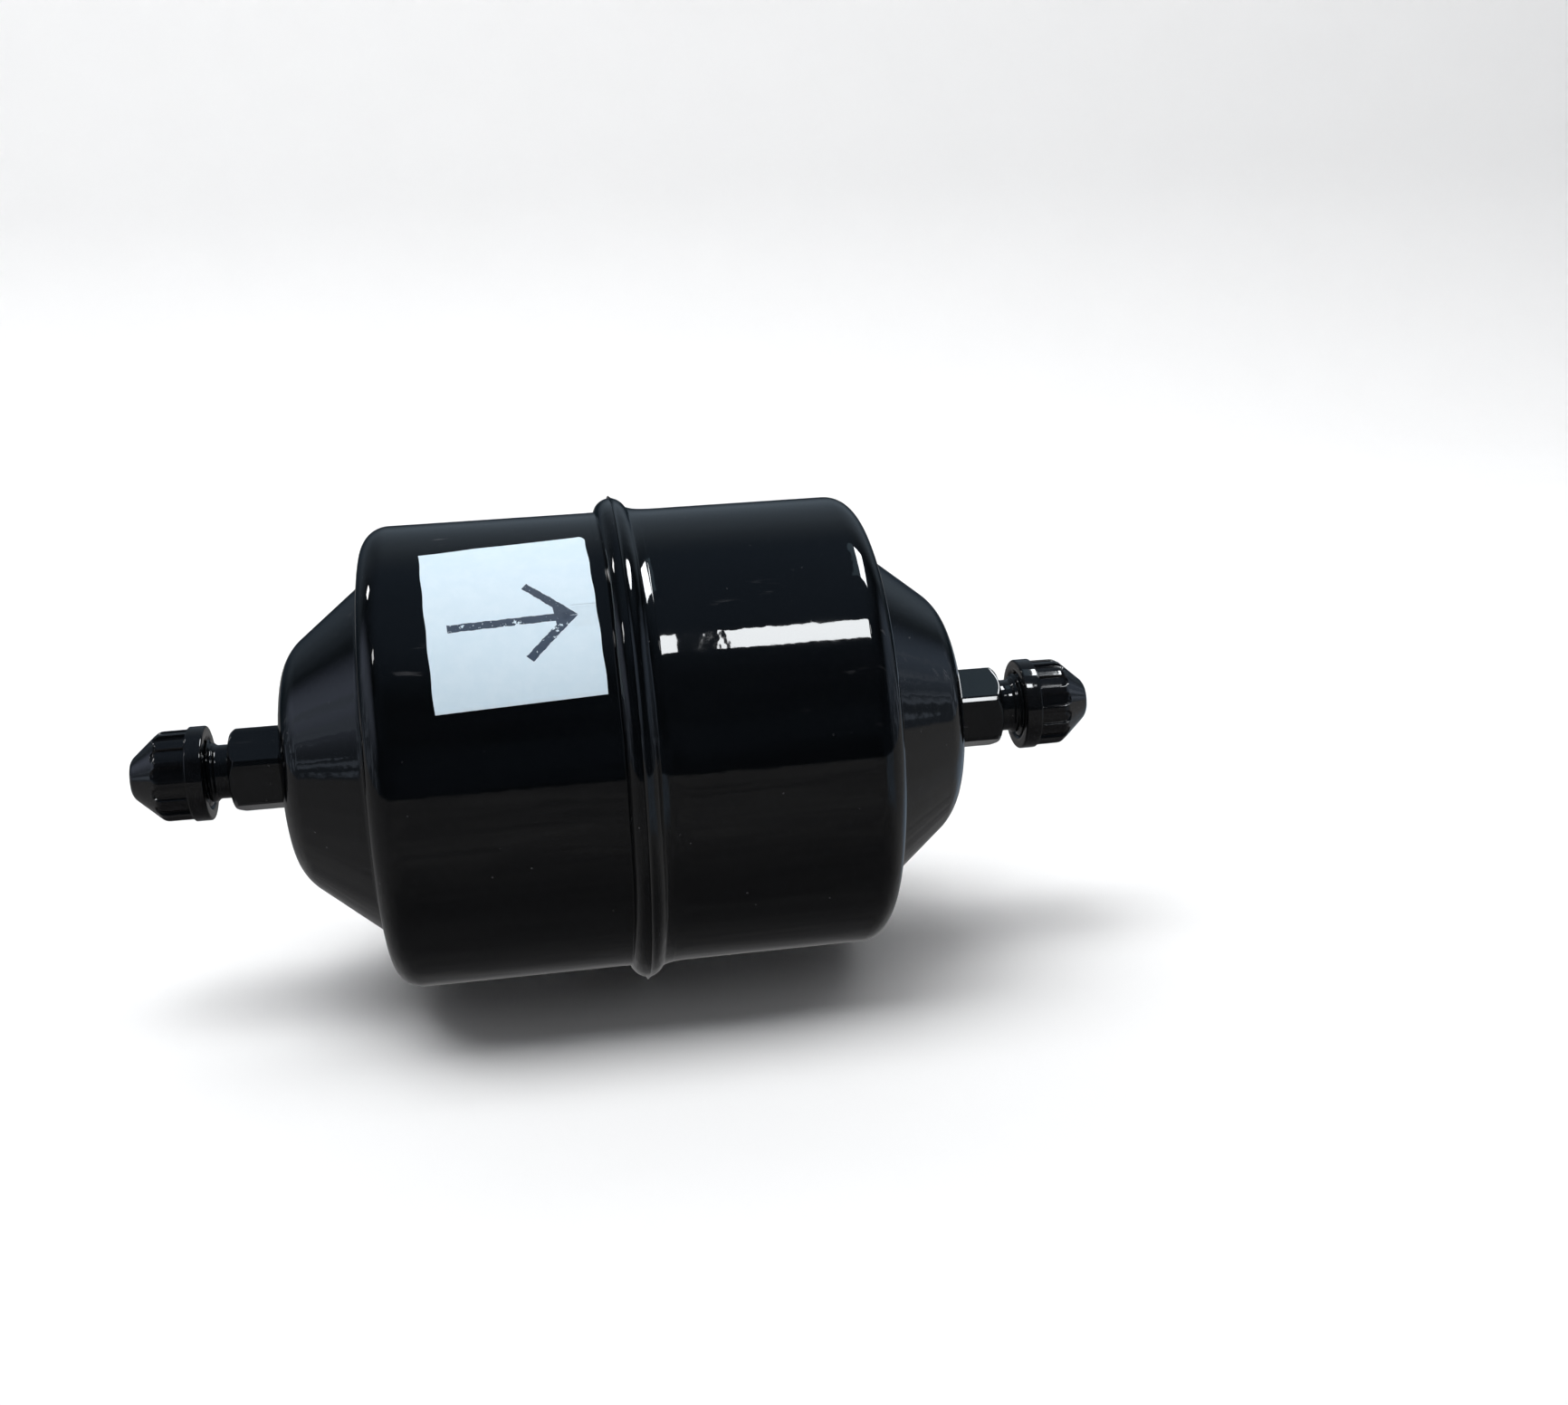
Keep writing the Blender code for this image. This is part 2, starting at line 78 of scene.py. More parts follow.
MM = 0.001
TAU = 2 * math.pi
NODES = frame["nodes"]
HALF_TURN = Matrix.Rotation(math.pi, 4, "Z")

# ---------------------------------------------------------------- sizes, in millimetres
# Each half of the shell: a cylinder, a shoulder, a cone and a rounded nose with a hole
SHELL_R = 38.0
WALL = 1.2
SHELL_START_X = 1.2
SHOULDER_R = 4.6
SHOULDER_X = 40.6
CREASE_R = 29.4
CREASE_FILLET = 2.7
SHELL_END_X = 55.0
NOSE_R = 17.8
NOSE_ROUNDING = 9.6
HOLE_R = 6.15
SHELL_SIDES = 288
SHELL_WOBBLE = 0.035

# The girth weld, and the way the outlet half rises towards it
BEAD_R = 2.65
BEAD_SUNK = 0.5  # how far the crown's centre lies below the shell's surface
BEAD_X = 0.1
BEAD_EDGE = 0.975  # the share of its radius at which the crown turns into a straight slope
BEAD_BLEND = 0.16
BEAD_UNDERSIDE = 0.7
OVERLAP_ANGLE = math.radians(250)  # where the weld's end lies on its start
OVERLAP_SPREAD = 0.12
OVERLAP_HEIGHT = 0.25
FLARE_HEIGHT, FLARE_END_X, FLARE_RUN = 0.30, 7.2, 4.4
FOOT_HEIGHT, FOOT_END_X, FOOT_RUN = 0.25, 4.8, 2.2

# Fitting
BORE_R = 2.4
SHANK_X, SHANK_R = 52.3, 5.8
BOSS_X, BOSS_R = 55.2, 6.1
BRAZE_REACH, BRAZE_CLIMB, BRAZE_INNER_R = 7.85, 0.45, 6.05
HEX_X0, HEX_X1 = 55.85, 64.2
HEX_FLAT_R = 6.35
HEX_CORNER = math.radians(24.3)
HEX_EDGE = 0.25
HEX_BACK_R, HEX_BACK_SLOPE = 6.8, 1.6
HEX_FRONT_R, HEX_FRONT_SLOPE = 6.2, 0.9
BEVEL_R = 6.96  # each corner is rolled over to one side
BEVEL_TURN = math.radians(12.0)
NECK_R = 4.4
THREAD_START_X, THREAD_END_X = 67.05, 76.7
THREAD_X0 = 67.3
THREAD_PHASE = math.radians(5.0)
THREAD_CORE_R = 4.78
THREAD_HEIGHT = 0.72
PITCH = 25.4 / 20
RINGS_PER_TURN = 18
CONE_END_X, CONE_END_R = 77.6, 3.1
CONE_SLOPE = 1.7 / 1.6

# Screw cap
CAP_X0, CAP_X1 = 67.9, 80.0
CAP_R = 7.36
COLLAR_R = 7.75
COLLAR_END = 70.6
TIP_X = 79.2  # from here on the rings follow the rounding of the tip
CAP_BORE_R = 5.1
GROOVE_DEPTH = 0.65
SEAL_POCKET_R = 3.2
FLUTES = 14
FLUTE_ANGLE = math.radians(16.7)
FLUTE_X0, FLUTE_X1 = 70.75, 76.0
FLUTE_LAYOUT_R = 7.35
FLUTE_HALF = 1.13
FLUTE_DEPTH = 0.5

# Inside the shell
SPRING_X0, SPRING_X1 = -52.4, -32.4
SPRING_R0, SPRING_R1 = 10.5, 24.0
SPRING_TURNS = 4.5
SPRING_WIRE_R = 1.1
FELT_CROWN = 0.12
FELT_CENTRE_R = 0.4
BAND_INNER_R = 33.8

# Sticker, with its corners measured from its centre
LABEL_X = -17.3
LABEL_ANGLE = math.radians(47.0)
LABEL_SKEW = math.radians(2.9)
LABEL_CORNERS = ((-12.8, -15.1), (12.5, -15.3), (13.0, 15.8), (-12.6, 14.5))
LABEL_TOP = 0.125  # above the shell
LABEL_THICKNESS = 0.11


# ---------------------------------------------------------------- mesh helpers
def filleted(corners, steps=7, closed=False):
    """A polyline through (x, r, fillet) corners, with each corner rounded to its fillet radius."""
    out = []
    count = len(corners)
    for k, (x, r, radius) in enumerate(corners):
        here = np.array((x, r), float)
        if radius <= 0 or (not closed and k in (0, count - 1)):
            out.append(here)
            continue
        back = np.array(corners[k - 1][:2], float) - here
        ahead = np.array(corners[(k + 1) % count][:2], float) - here
        back_len, ahead_len = np.linalg.norm(back), np.linalg.norm(ahead)
        back, ahead = back / back_len, ahead / ahead_len
        between = math.acos(max(-1.0, min(1.0, float(back @ ahead))))
        if between > math.pi - 0.01:
            out.append(here)
            continue
        setback = min(radius / math.tan(between / 2), 0.49 * back_len, 0.49 * ahead_len)
        radius = setback * math.tan(between / 2)
        middle = back + ahead
        centre = here + middle / np.linalg.norm(middle) * radius / math.sin(between / 2)
        first = here + back * setback - centre
        last = here + ahead * setback - centre
        start = math.atan2(first[1], first[0])
        turn = (math.atan2(last[1], last[0]) - start + math.pi) % TAU - math.pi
        for j in range(steps + 1):
            angle = start + turn * j / steps
            out.append(centre + radius * np.array((math.cos(angle), math.sin(angle))))
    return np.array(out)


def arc(centre, radius, start, end, steps):
    a = np.radians(np.linspace(start, end, steps + 1))
    return np.stack((centre[0] + radius * np.cos(a), centre[1] + radius * np.sin(a)), 1)


def full_turn(count):
    return np.linspace(0, TAU, count, endpoint=False)


def ramp(x, low, high):
    """0 below low, 1 above high, and a smooth S between them."""
    t = np.clip((x - low) / (high - low), 0, 1)
    return t * t * (3 - 2 * t)


def soft_min(values, k):
    """The smallest of some arrays, with the change from one to another rounded over about k."""
    least = np.min(values, axis=0)
    return least - k * np.log(np.sum(np.exp(-(np.asarray(values) - least) / k), axis=0))


def wander(angle, waves, phase):
    """A smooth wobble of about one, round the axis."""
    return sum(math.cos(1.7 * n + phase) * np.sin(n * angle + 2.3 * n + phase) for n in waves)


def around(x, r, angle):
    """Points at x and r, at an angle above the -Y side."""
    return np.stack(np.broadcast_arrays(x, -r * np.cos(angle), r * np.sin(angle)), -1)


def band_faces(start, end, sides):
    """The quads between two closed rings of vertices, which begin at start and at end."""
    column = np.arange(sides)
    ahead = (column + 1) % sides
    return np.stack((start + column, start + ahead, end + ahead, end + column), 1).tolist()


def mesh_object(name, verts, faces, finish, place=None, sharp=38):
    mesh = bpy.data.meshes.new(name)
    mesh.from_pydata((np.asarray(verts) * MM).tolist(), [], faces)
    shape = bmesh.new()
    shape.from_mesh(mesh)
    bmesh.ops.recalc_face_normals(shape, faces=shape.faces)
    shape.to_mesh(mesh)
    shape.free()
    if place is not None:
        mesh.transform(place)
    mesh.shade_smooth()
    mesh.set_sharp_from_angle(angle=math.radians(sharp))
    mesh.materials.append(finish)
    obj = bpy.data.objects.new(name, mesh)
    bpy.context.scene.collection.objects.link(obj)
    return obj


def ringed(name, xs, rs, angles, finish, place=None, closed=True, sharp=38):
    """A solid of rings about the axis: xs and rs hold one row for each ring, and angles one column
    for each point. closed joins the last ring to the first; otherwise both ends close on the axis."""
    count, sides = len(xs), len(angles)
    xs = np.broadcast_to(np.asarray(xs, float).reshape(count, -1), (count, sides))
    rs = np.broadcast_to(np.asarray(rs, float).reshape(count, -1), (count, sides))
    verts = around(xs, rs, np.asarray(angles)[None, :]).reshape(-1, 3)
    faces = []
    for k in range(count if closed else count - 1):
        faces += band_faces(k * sides, ((k + 1) % count) * sides, sides)
    if not closed:
        column = np.arange(sides)
        ahead = (column + 1) % sides
        for ring, at in ((0, len(verts)), (count - 1, len(verts) + 1)):
            fan = (ring * sides + column, ring * sides + ahead, np.full(sides, at))
            faces += np.stack(fan, 1).tolist()
        verts = np.concatenate((verts, [(xs[0].mean(), 0, 0), (xs[-1].mean(), 0, 0)]))
    return mesh_object(name, verts, faces, finish, place, sharp)


# ---------------------------------------------------------------- materials
class Nodes:
    """Short ways to add nodes to a tree."""

    def __init__(self, tree):
        self.tree = tree

    def node(self, kind, settings=(), **inputs):
        made = self.tree.nodes.new(kind)
        for key, value in dict(settings).items():
            setattr(made, key, value)
        for key, value in inputs.items():
            self.feed(made.inputs[key.replace("_", " ")], value)
        return made

    def feed(self, socket, value):
        if isinstance(value, bpy.types.NodeSocket):
            self.tree.links.new(value, socket)
        else:
            socket.default_value = value

    def span(self, value, low, high, to_low=0.0, to_high=1.0):
        """value mapped from low..high to the other range, and kept inside it."""
        made = self.node("ShaderNodeMapRange", {"interpolation_type": "SMOOTHSTEP"})
        for socket, number in zip(made.inputs[:5], (value, low, high, to_low, to_high)):
            self.feed(socket, number)
        return made.outputs["Result"]

    def math(self, operation, a, b=0.0):
        made = self.node("ShaderNodeMath", {"operation": operation})
        self.feed(made.inputs[0], a)
        self.feed(made.inputs[1], b)
        return made.outputs[0]

    def times(self, a, b):
        return self.math("MULTIPLY", a, b)

    def plus(self, a, b):
        return self.math("ADD", a, b)

    def mix(self, share, a, b):
        """a where share is 0 and b where it is 1, each a colour or a socket."""
        made = self.node("ShaderNodeMix", {"data_type": "RGBA"})
        self.feed(made.inputs[0], share)
        for socket, colour in ((made.inputs[6], a), (made.inputs[7], b)):
            linked = isinstance(colour, bpy.types.NodeSocket)
            self.feed(socket, colour if linked else (*colour, 1))
        return made.outputs[2]


class Finish(Nodes):
    """A node material. Numbers that are the same all over are set on the shader itself."""

    def __init__(self, name, **constants):
        self.material = bpy.data.materials.new(name)
        self.material.use_nodes = True
        super().__init__(self.material.node_tree)
        self.shader = self.tree.nodes["Principled BSDF"]
        for key, value in constants.items():
            self.shader.inputs[key.replace("_", " ")].default_value = value
        self.place = self.node("ShaderNodeTexCoord").outputs["Object"]

    def noise(self, scale, detail=3.0, roughness=0.55, vector=None, distortion=0.0):
        return self.node(
            "ShaderNodeTexNoise",
            Vector=vector or self.place,
            Scale=scale,
            Detail=detail,
            Roughness=roughness,
            Distortion=distortion,
        ).outputs["Fac"]

    def cells(self, scale):
        """The distance to the nearest of many scattered points."""
        made = self.node("ShaderNodeTexVoronoi", Vector=self.place, Scale=scale)
        return made.outputs["Distance"]

    def stretched(self, scale, turn=(0, 0, 0)):
        made = self.node("ShaderNodeMapping", Vector=self.place, Scale=scale, Rotation=turn)
        return made.outputs["Vector"]

    def distance(self, point):
        """The distance in the UV map, which is in millimetres, from a point."""
        made = self.node("ShaderNodeVectorMath", {"operation": "DISTANCE"})
        self.feed(made.inputs[0], self.node("ShaderNodeUVMap").outputs[0])
        made.inputs[1].default_value = (*point, 0)
        return made.outputs["Value"]

    def bump(self, height, distance, below=None):
        made = self.node("ShaderNodeBump", Height=height, Distance=distance)
        made.inputs["Strength"].default_value = 1.0
        if below is not None:
            self.feed(made.inputs["Normal"], below)
        return made.outputs["Normal"]

    def done(self, **links):
        for key, value in links.items():
            self.feed(self.shader.inputs[key.replace("_", " ")], value)
        return self.material


ENAMEL_BLACK = (0.0014, 0.0016, 0.0020)
THIN_ENAMEL_BLACK = (0.0028, 0.0032, 0.0038)
DUST = (0.10, 0.10, 0.105)
BARE_STEEL = (0.30, 0.29, 0.28)
PLASTIC_DARK, PLASTIC_LIGHT = (0.0022, 0.0022, 0.0026), (0.005, 0.005, 0.0055)
PLASTIC_SPECK = (0.12, 0.12, 0.12)
RUBBER_DARK, RUBBER_BLOOM = (0.018, 0.018, 0.018), (0.05, 0.05, 0.052)
PAPER_DARK, PAPER_LIGHT = (0.63, 0.775, 0.875), (0.665, 0.80, 0.895)
# painted shade for the paper below the crease
PAPER_SHADE_BELOW_CREASE = (0.54, 0.66, 0.74)
PAPER_EDGE = (0.6, 0.66, 0.7)
# painted shade for the paper in the crease
PAPER_CREASE_SHADE = (0.5, 0.58, 0.64)
INK_DARK, INK_LIGHT = (0.012, 0.034, 0.076), (0.028, 0.060, 0.112)
STEEL_STAIN = (0.25, 0.22, 0.18)
FELT_DARK, FELT_LIGHT = (0.62, 0.61, 0.56), (0.84, 0.83, 0.79)
BEAD_LIGHT, BEAD_DARK = (0.74, 0.68, 0.57), (0.50, 0.44, 0.35)
BLOCK_STAIN = (0.66, 0.56, 0.44)


def enamel(name, colour, peel_scale, peel_height, dust, wear=0.0):
    """Glossy stoved black enamel: orange peel, a little dust, fine scuffs and worn-off chips."""
    f = Finish(name, IOR=1.46)
    scuff_lines = f.noise(900, 2, 0.5, f.stretched((0.12, 1.0, 0.35), (0.3, 0.5, 0.2)))
    scuffs = f.times(f.span(scuff_lines, 0.66, 0.73), f.span(f.noise(38, 3, 0.6), 0.52, 0.66))
    motes = f.times(f.span(f.cells(520), 0.05, 0.11, 1.0, 0.0), f.span(f.noise(170, 2), 0.56, 0.66))
    film = f.span(f.noise(24, 4, 0.6), 0.35, 0.75, 0.0, dust)
    soil = f.plus(f.plus(f.times(scuffs, 0.35), f.times(motes, 0.5)), film)
    tone = f.mix(soil, colour, DUST)
    rough = f.plus(f.span(f.noise(60, 3), 0.3, 0.7, 0.02, 0.045), f.times(soil, 0.35))
    if wear:
        chips = f.times(f.span(f.noise(700, 3, 0.6), 0.70, 0.74), wear)
        tone = f.mix(chips, tone, BARE_STEEL)
        rough = f.plus(rough, f.times(chips, 0.2))
    normal = f.bump(f.noise(peel_scale, 1.5, 0.4), peel_height)
    normal = f.bump(scuffs, 2e-6, normal)
    return f.done(Base_Color=tone, Roughness=rough, Normal=normal)


def cap_plastic():
    """Glossy moulded plastic with flow marks and specks of dust."""
    f = Finish("cap_plastic_black", IOR=1.5)
    flow = f.noise(90, 3, 0.6, f.stretched((0.25, 1, 1)))
    tone = f.mix(f.span(flow, 0.35, 0.7), PLASTIC_DARK, PLASTIC_LIGHT)
    specks = f.times(f.span(f.cells(1500), 0.05, 0.1, 1.0, 0.0), f.span(f.noise(300, 2), 0.55, 0.62))
    tone = f.mix(f.times(specks, 0.3), tone, PLASTIC_SPECK)
    rough = f.span(f.noise(260, 4, 0.6), 0.3, 0.7, 0.045, 0.10)
    normal = f.bump(f.noise(1500, 3, 0.6), 3e-6)
    return f.done(Base_Color=tone, Roughness=rough, Normal=normal)


def rubber():
    f = Finish("seal_rubber_black", IOR=1.5)
    bloom = f.noise(400, 4, 0.6)
    tone = f.mix(f.span(bloom, 0.4, 0.7), RUBBER_DARK, RUBBER_BLOOM)
    normal = f.bump(f.noise(3500, 4, 0.6), 1.5e-5)
    return f.done(Base_Color=tone, Roughness=f.span(bloom, 0.3, 0.7, 0.6, 0.8), Normal=normal)


def paper_tone(f):
    """The sticker's paper: cool white and mottled, with painted shade below the crease beside the
    arrow's tip.
    """
    u, v, _ = f.node("ShaderNodeSeparateXYZ", Vector=f.node("ShaderNodeUVMap").outputs[0]).outputs
    tone = f.mix(f.span(f.noise(420, 4, 0.6), 0.3, 0.75), PAPER_DARK, PAPER_LIGHT)
    # painted shade: the paper right of the arrow's tip and below the crease is darkened in its colour
    shade_below_crease = f.times(f.span(u, 8.4, 9.4), f.span(v, -4.6, -3.6))
    shade_below_crease = f.times(shade_below_crease, f.span(v, -0.5, -0.1, 1.0, 0.0))
    shade_below_crease = f.times(shade_below_crease, f.span(f.noise(260, 3), 0.3, 0.6, 0.3, 0.9))
    tone = f.mix(f.times(shade_below_crease, 0.5), tone, PAPER_SHADE_BELOW_CREASE)
    # darker along the sticker's lower edge
    edge = f.span(f.math("ABSOLUTE", f.plus(v, 15.0)), 0.0, 0.5, 0.25, 0.0)
    return f.mix(edge, tone, PAPER_EDGE), u, v


def sticker_paper():
    """Satin paper: fibres, slight waviness, and a crease ahead of the arrow with painted shade along
    it.
    """
    f = Finish("sticker_paper", IOR=1.45)
    tone, u, v = paper_tone(f)
    line = f.math("ABSOLUTE", f.plus(v, f.times(u, 0.03)))
    # painted shade: the colour is darkened along the crease, which the bump below also dents
    crease = f.times(f.span(line, 0.0, 0.16, 1.0, 0.0), f.span(u, 8.6, 9.2))
    tone = f.mix(f.times(crease, 0.35), tone, PAPER_CREASE_SHADE)
    fibres = f.noise(2600, 4, 0.65)
    normal = f.bump(f.noise(130, 2, 0.5), 3e-5)
    normal = f.bump(fibres, 5e-6, normal)
    normal = f.bump(crease, -5e-5, normal)
    return f.done(Base_Color=tone, Roughness=f.span(fibres, 0.3, 0.7, 0.42, 0.55), Normal=normal)


def arrow_ink():
    """Stamped slate ink that lets the paper through in specks and in a few thin places."""
    f = Finish("arrow_ink", IOR=1.45)
    tone, u, v = paper_tone(f)
    ink = f.mix(f.noise(900, 3, 0.6), INK_DARK, INK_LIGHT)
    grain = f.noise(1500, 3, 0.65)
    shaft_end = f.span(u, -9.6, -6.0, 0.035, 0.0)
    shaft = f.span(f.distance((0.65, -2.1)), 0.2, 1.1, 0.14, 0.0)
    lower_barb = f.span(f.distance((6.1, -4.2)), 0.2, 0.9, 0.15, 0.0)
    upper_barb = f.times(f.span(v, 3.4, 4.4), f.span(u, 2.0, 3.4, 0.1, 0.02))
    worn = f.plus(f.plus(grain, f.plus(shaft, lower_barb)), f.plus(shaft_end, upper_barb))
    tone = f.mix(f.span(worn, 0.63, 0.68, 1.0, 0.0), tone, ink)
    rough = f.span(grain, 0.3, 0.7, 0.5, 0.65)
    return f.done(Base_Color=tone, Roughness=rough, Normal=f.bump(grain, 4e-6))


def plated_steel(name, low, high, grain, roughness):
    """Drawn or rolled steel: fine lines, a cloudy plating and small stains."""
    f = Finish(name, Metallic=1.0)
    lines = f.noise(1600, 3, 0.6, f.stretched(grain))
    tone = f.mix(f.span(f.noise(120, 4, 0.6), 0.3, 0.7), low, high)
    stains = f.span(f.noise(300, 4, 0.65), 0.66, 0.74)
    tone = f.mix(f.times(stains, 0.4), tone, STEEL_STAIN)
    rough = f.span(lines, 0.3, 0.7, roughness - 0.08, roughness + 0.1)
    return f.done(Base_Color=tone, Roughness=rough, Normal=f.bump(lines, 4e-6))


def felt():
    f = Finish("filter_felt", Sheen_Weight=0.3)
    strands = f.noise(1400, 5, 0.7, None, 1.5)
    tone = f.mix(f.span(strands, 0.3, 0.7), FELT_DARK, FELT_LIGHT)
    normal = f.bump(strands, 2.5e-4)
    return f.done(Base_Color=tone, Roughness=f.span(strands, 0.3, 0.7, 0.85, 1.0), Normal=normal)


def desiccant():
    """A moulded block of small beads, with pale brown stains."""
    f = Finish("desiccant_block")
    beads = f.cells(900)
    tone = f.mix(f.span(beads, 0.1, 0.6), BEAD_LIGHT, BEAD_DARK)
    tone = f.mix(f.span(f.noise(80, 4), 0.45, 0.7, 0.0, 0.4), tone, BLOCK_STAIN)
    normal = f.bump(beads, -2.5e-4)
    return f.done(Base_Color=tone, Roughness=f.span(beads, 0.1, 0.6, 0.8, 0.95), Normal=normal)


SHELL_ENAMEL = enamel("shell_enamel", ENAMEL_BLACK, 520, 1.3e-5, 0.008)
BEAD_ENAMEL = enamel("bead_enamel", ENAMEL_BLACK, 520, 1.5e-5, 0.008)
FITTING_ENAMEL = enamel("fitting_enamel", THIN_ENAMEL_BLACK, 700, 2.5e-6, 0.012, 0.35)
CAP_PLASTIC = cap_plastic()
RUBBER = rubber()
STICKER = sticker_paper()
INK = arrow_ink()
SPRING_WIRE = plated_steel("spring_wire", (0.38, 0.38, 0.37), (0.52, 0.52, 0.51), (0.2, 1, 1), 0.3)
ZINC = plated_steel("zinc_plate", (0.52, 0.52, 0.50), (0.68, 0.68, 0.66), (1, 0.15, 1), 0.34)
FELT = felt()
DESICCANT = desiccant()


# ---------------------------------------------------------------- shell and weld
def shell_line(offset, detail):
    """One half's skin from the cylinder to the end hole, moved inwards by offset."""
    slope = math.degrees(math.atan2(CREASE_R - NOSE_R, SHELL_END_X - SHOULDER_X))
    turn = math.radians(90 - slope)
    shoulder = (SHOULDER_X - SHOULDER_R, SHELL_R - SHOULDER_R)
    crease = (SHOULDER_X + CREASE_FILLET, CREASE_R + CREASE_FILLET * math.tan(turn / 2))
    nose = (SHELL_END_X - NOSE_ROUNDING, NOSE_R - NOSE_ROUNDING * math.tan(turn / 2))
    return np.concatenate(
        (
            arc(shoulder, SHOULDER_R - offset, 90, 0, 2 * detail),
            arc(crease, CREASE_FILLET + offset, 180, 270 - slope, detail),
            arc(nose, NOSE_ROUNDING - offset, 90 - slope, 0, 2 * detail),
        )
    )


def rise(x):
    """How far the outlet half rises above its cylinder beside the weld."""
    wide = FLARE_HEIGHT * (np.clip(FLARE_END_X - x, 0, None) / FLARE_RUN) ** 2
    close = FOOT_HEIGHT * (np.clip(FOOT_END_X - x, 0, None) / FOOT_RUN) ** 2.5
    return (wide + close) * (x > 0)


def shell_half(end, side):
    """A pressed half with its inner face, from the seam to the hole for the fitting."""
    xs = np.linspace(SHELL_START_X, 12.0, 28)
    beside_weld = np.stack((xs, SHELL_R + (rise(xs) if side > 0 else 0 * xs)), 1)
    barrel = np.stack((np.linspace(14, 35, 12), np.full(12, SHELL_R)), 1)
    hole = [
        (SHELL_END_X, HOLE_R + 0.3),
        (SHELL_END_X - 0.1, HOLE_R),
        (SHELL_END_X - WALL, HOLE_R),
    ]
    inner = shell_line(WALL, 8)[::-1]
    seam = [(SHELL_START_X, SHELL_R - WALL)]
    path = np.concatenate((beside_weld, barrel, shell_line(0, 14), hole, inner, seam))
    angles = full_turn(SHELL_SIDES)
    wobble = SHELL_WOBBLE * wander(angles, (2, 3), 0.4 + side)
    on_barrel = ramp(path[:, 1], SHELL_R - 4, SHELL_R - 2)[:, None]
    rs = path[:, 1][:, None] + on_barrel * wobble[None, :]
    piece = ringed(end + "_half", side * path[:, 0], rs, angles, SHELL_ENAMEL)
    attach(piece, "housing")
    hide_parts(end + "_shell")


def seam_bead():
    """The girth weld under its enamel: a round crown that runs out into the outlet half's rise."""
    angles = full_turn(720)
    shift = 0.05 * wander(angles, (3, 5, 9), 0.7) + 0.012 * wander(angles, (31, 47), 1.1)
    swell = 0.03 * wander(angles, (4, 7, 11), 2.1) + 0.0022 * wander(angles, (83, 97, 131), 0.3)
    from_overlap = (angles - OVERLAP_ANGLE + math.pi) % TAU - math.pi
    overlap = OVERLAP_HEIGHT * np.exp(-((from_overlap / OVERLAP_SPREAD) ** 2))
    xs = np.concatenate(
        (np.linspace(-3.7, -2.2, 22), np.linspace(-2.1, 2.2, 44), np.linspace(2.3, 4.2, 22))
    )
    u = (xs[:, None] - BEAD_X - shift[None, :]) / BEAD_R
    clipped = np.clip(u, -BEAD_EDGE, BEAD_EDGE)
    crown = BEAD_R * np.sqrt(1 - clipped**2) - BEAD_SUNK + swell[None, :] + overlap[None, :]
    crown = crown - np.abs(u - clipped) * BEAD_R * BEAD_EDGE / math.sqrt(1 - BEAD_EDGE**2)
    base = np.broadcast_to(rise(xs)[:, None], crown.shape)
    skin = SHELL_R - soft_min((-crown, -base), BEAD_BLEND)
    skin[0], skin[-1] = SHELL_R - 0.05, SHELL_R + rise(xs[-1]) - 0.05
    under = np.full((2, len(angles)), SHELL_R - BEAD_UNDERSIDE)
    xs = np.concatenate((xs, (xs[-1], xs[0])))
    rs = np.concatenate((skin, under))
    piece = ringed("seam_bead", xs, rs, angles, BEAD_ENAMEL, sharp=60)
    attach(piece, "housing")
    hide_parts("seam_weld")


# ---------------------------------------------------------------- end sets
def own_angle(end, angle):
    """The angle, in the end set's own position, that ends up at the given one above -Y."""
    return math.pi - angle if end == "inlet" else angle


def spread(path, count):
    """The radii of a path, the same all the way round."""
    return np.repeat(path[:, 1][:, None], count, 1)


def helix(xs, angles):
    """How far along X each point lies from the nearest turn of the thread, either way."""
    # the thread's own angle runs from +Y towards +Z, and ours from -Y towards +Z
    turned_by = (math.pi - angles - THREAD_PHASE) / TAU
    offset = (xs[:, None] - THREAD_X0) / PITCH - turned_by[None, :]
    return np.abs(offset - np.round(offset)) * PITCH


def hex_angles(corner):
    """Points round a hexagon, closer together at its corners."""
    sector = np.radians(np.concatenate((np.linspace(-5, 5, 21), np.linspace(7, 53, 17))))
    return np.sort(np.concatenate([(corner + k * math.pi / 3 + sector) % TAU for k in range(6)]))


def hexagon_rows(angles, corner):
    """Rings along the hexagon: its flats and rolled corners, chamfered at both ends."""
    flats = []
    for k in range(6):
        for radius, turn in ((HEX_FLAT_R, math.pi / 6), (BEVEL_R, BEVEL_TURN)):
            facing = np.cos(angles - corner - turn - k * math.pi / 3)
            flats.append(radius / np.clip(facing, 0.3, 1))
    outline = soft_min(np.array(flats), 0.022)
    steps = HEX_EDGE * (1 - np.cos(np.linspace(0, math.pi / 2, 7)))
    xs = np.concatenate(
        (
            HEX_X0 + steps,
            np.linspace(HEX_X0 + 0.35, HEX_X0 + 1.2, 8),
            np.linspace(HEX_X0 + 1.6, HEX_X1 - 2.1, 4),
            np.linspace(HEX_X1 - 1.8, HEX_X1 - 0.32, 20),
            HEX_X1 - steps[::-1],
        )
    )
    back = HEX_BACK_R + (xs - HEX_X0) * HEX_BACK_SLOPE
    front = HEX_FRONT_R + (HEX_X1 - xs) * HEX_FRONT_SLOPE
    shape = (len(xs), len(angles))
    chamfer = np.broadcast_to(np.minimum(back, front)[:, None], shape)
    rs = soft_min((chamfer, np.broadcast_to(outline, shape)), 0.05)
    depth = np.clip(HEX_EDGE - np.minimum(xs - HEX_X0, HEX_X1 - xs), 0, None)
    rounding = HEX_EDGE - np.sqrt(np.clip(HEX_EDGE**2 - depth**2, 0, None))
    return xs, rs - rounding[:, None]


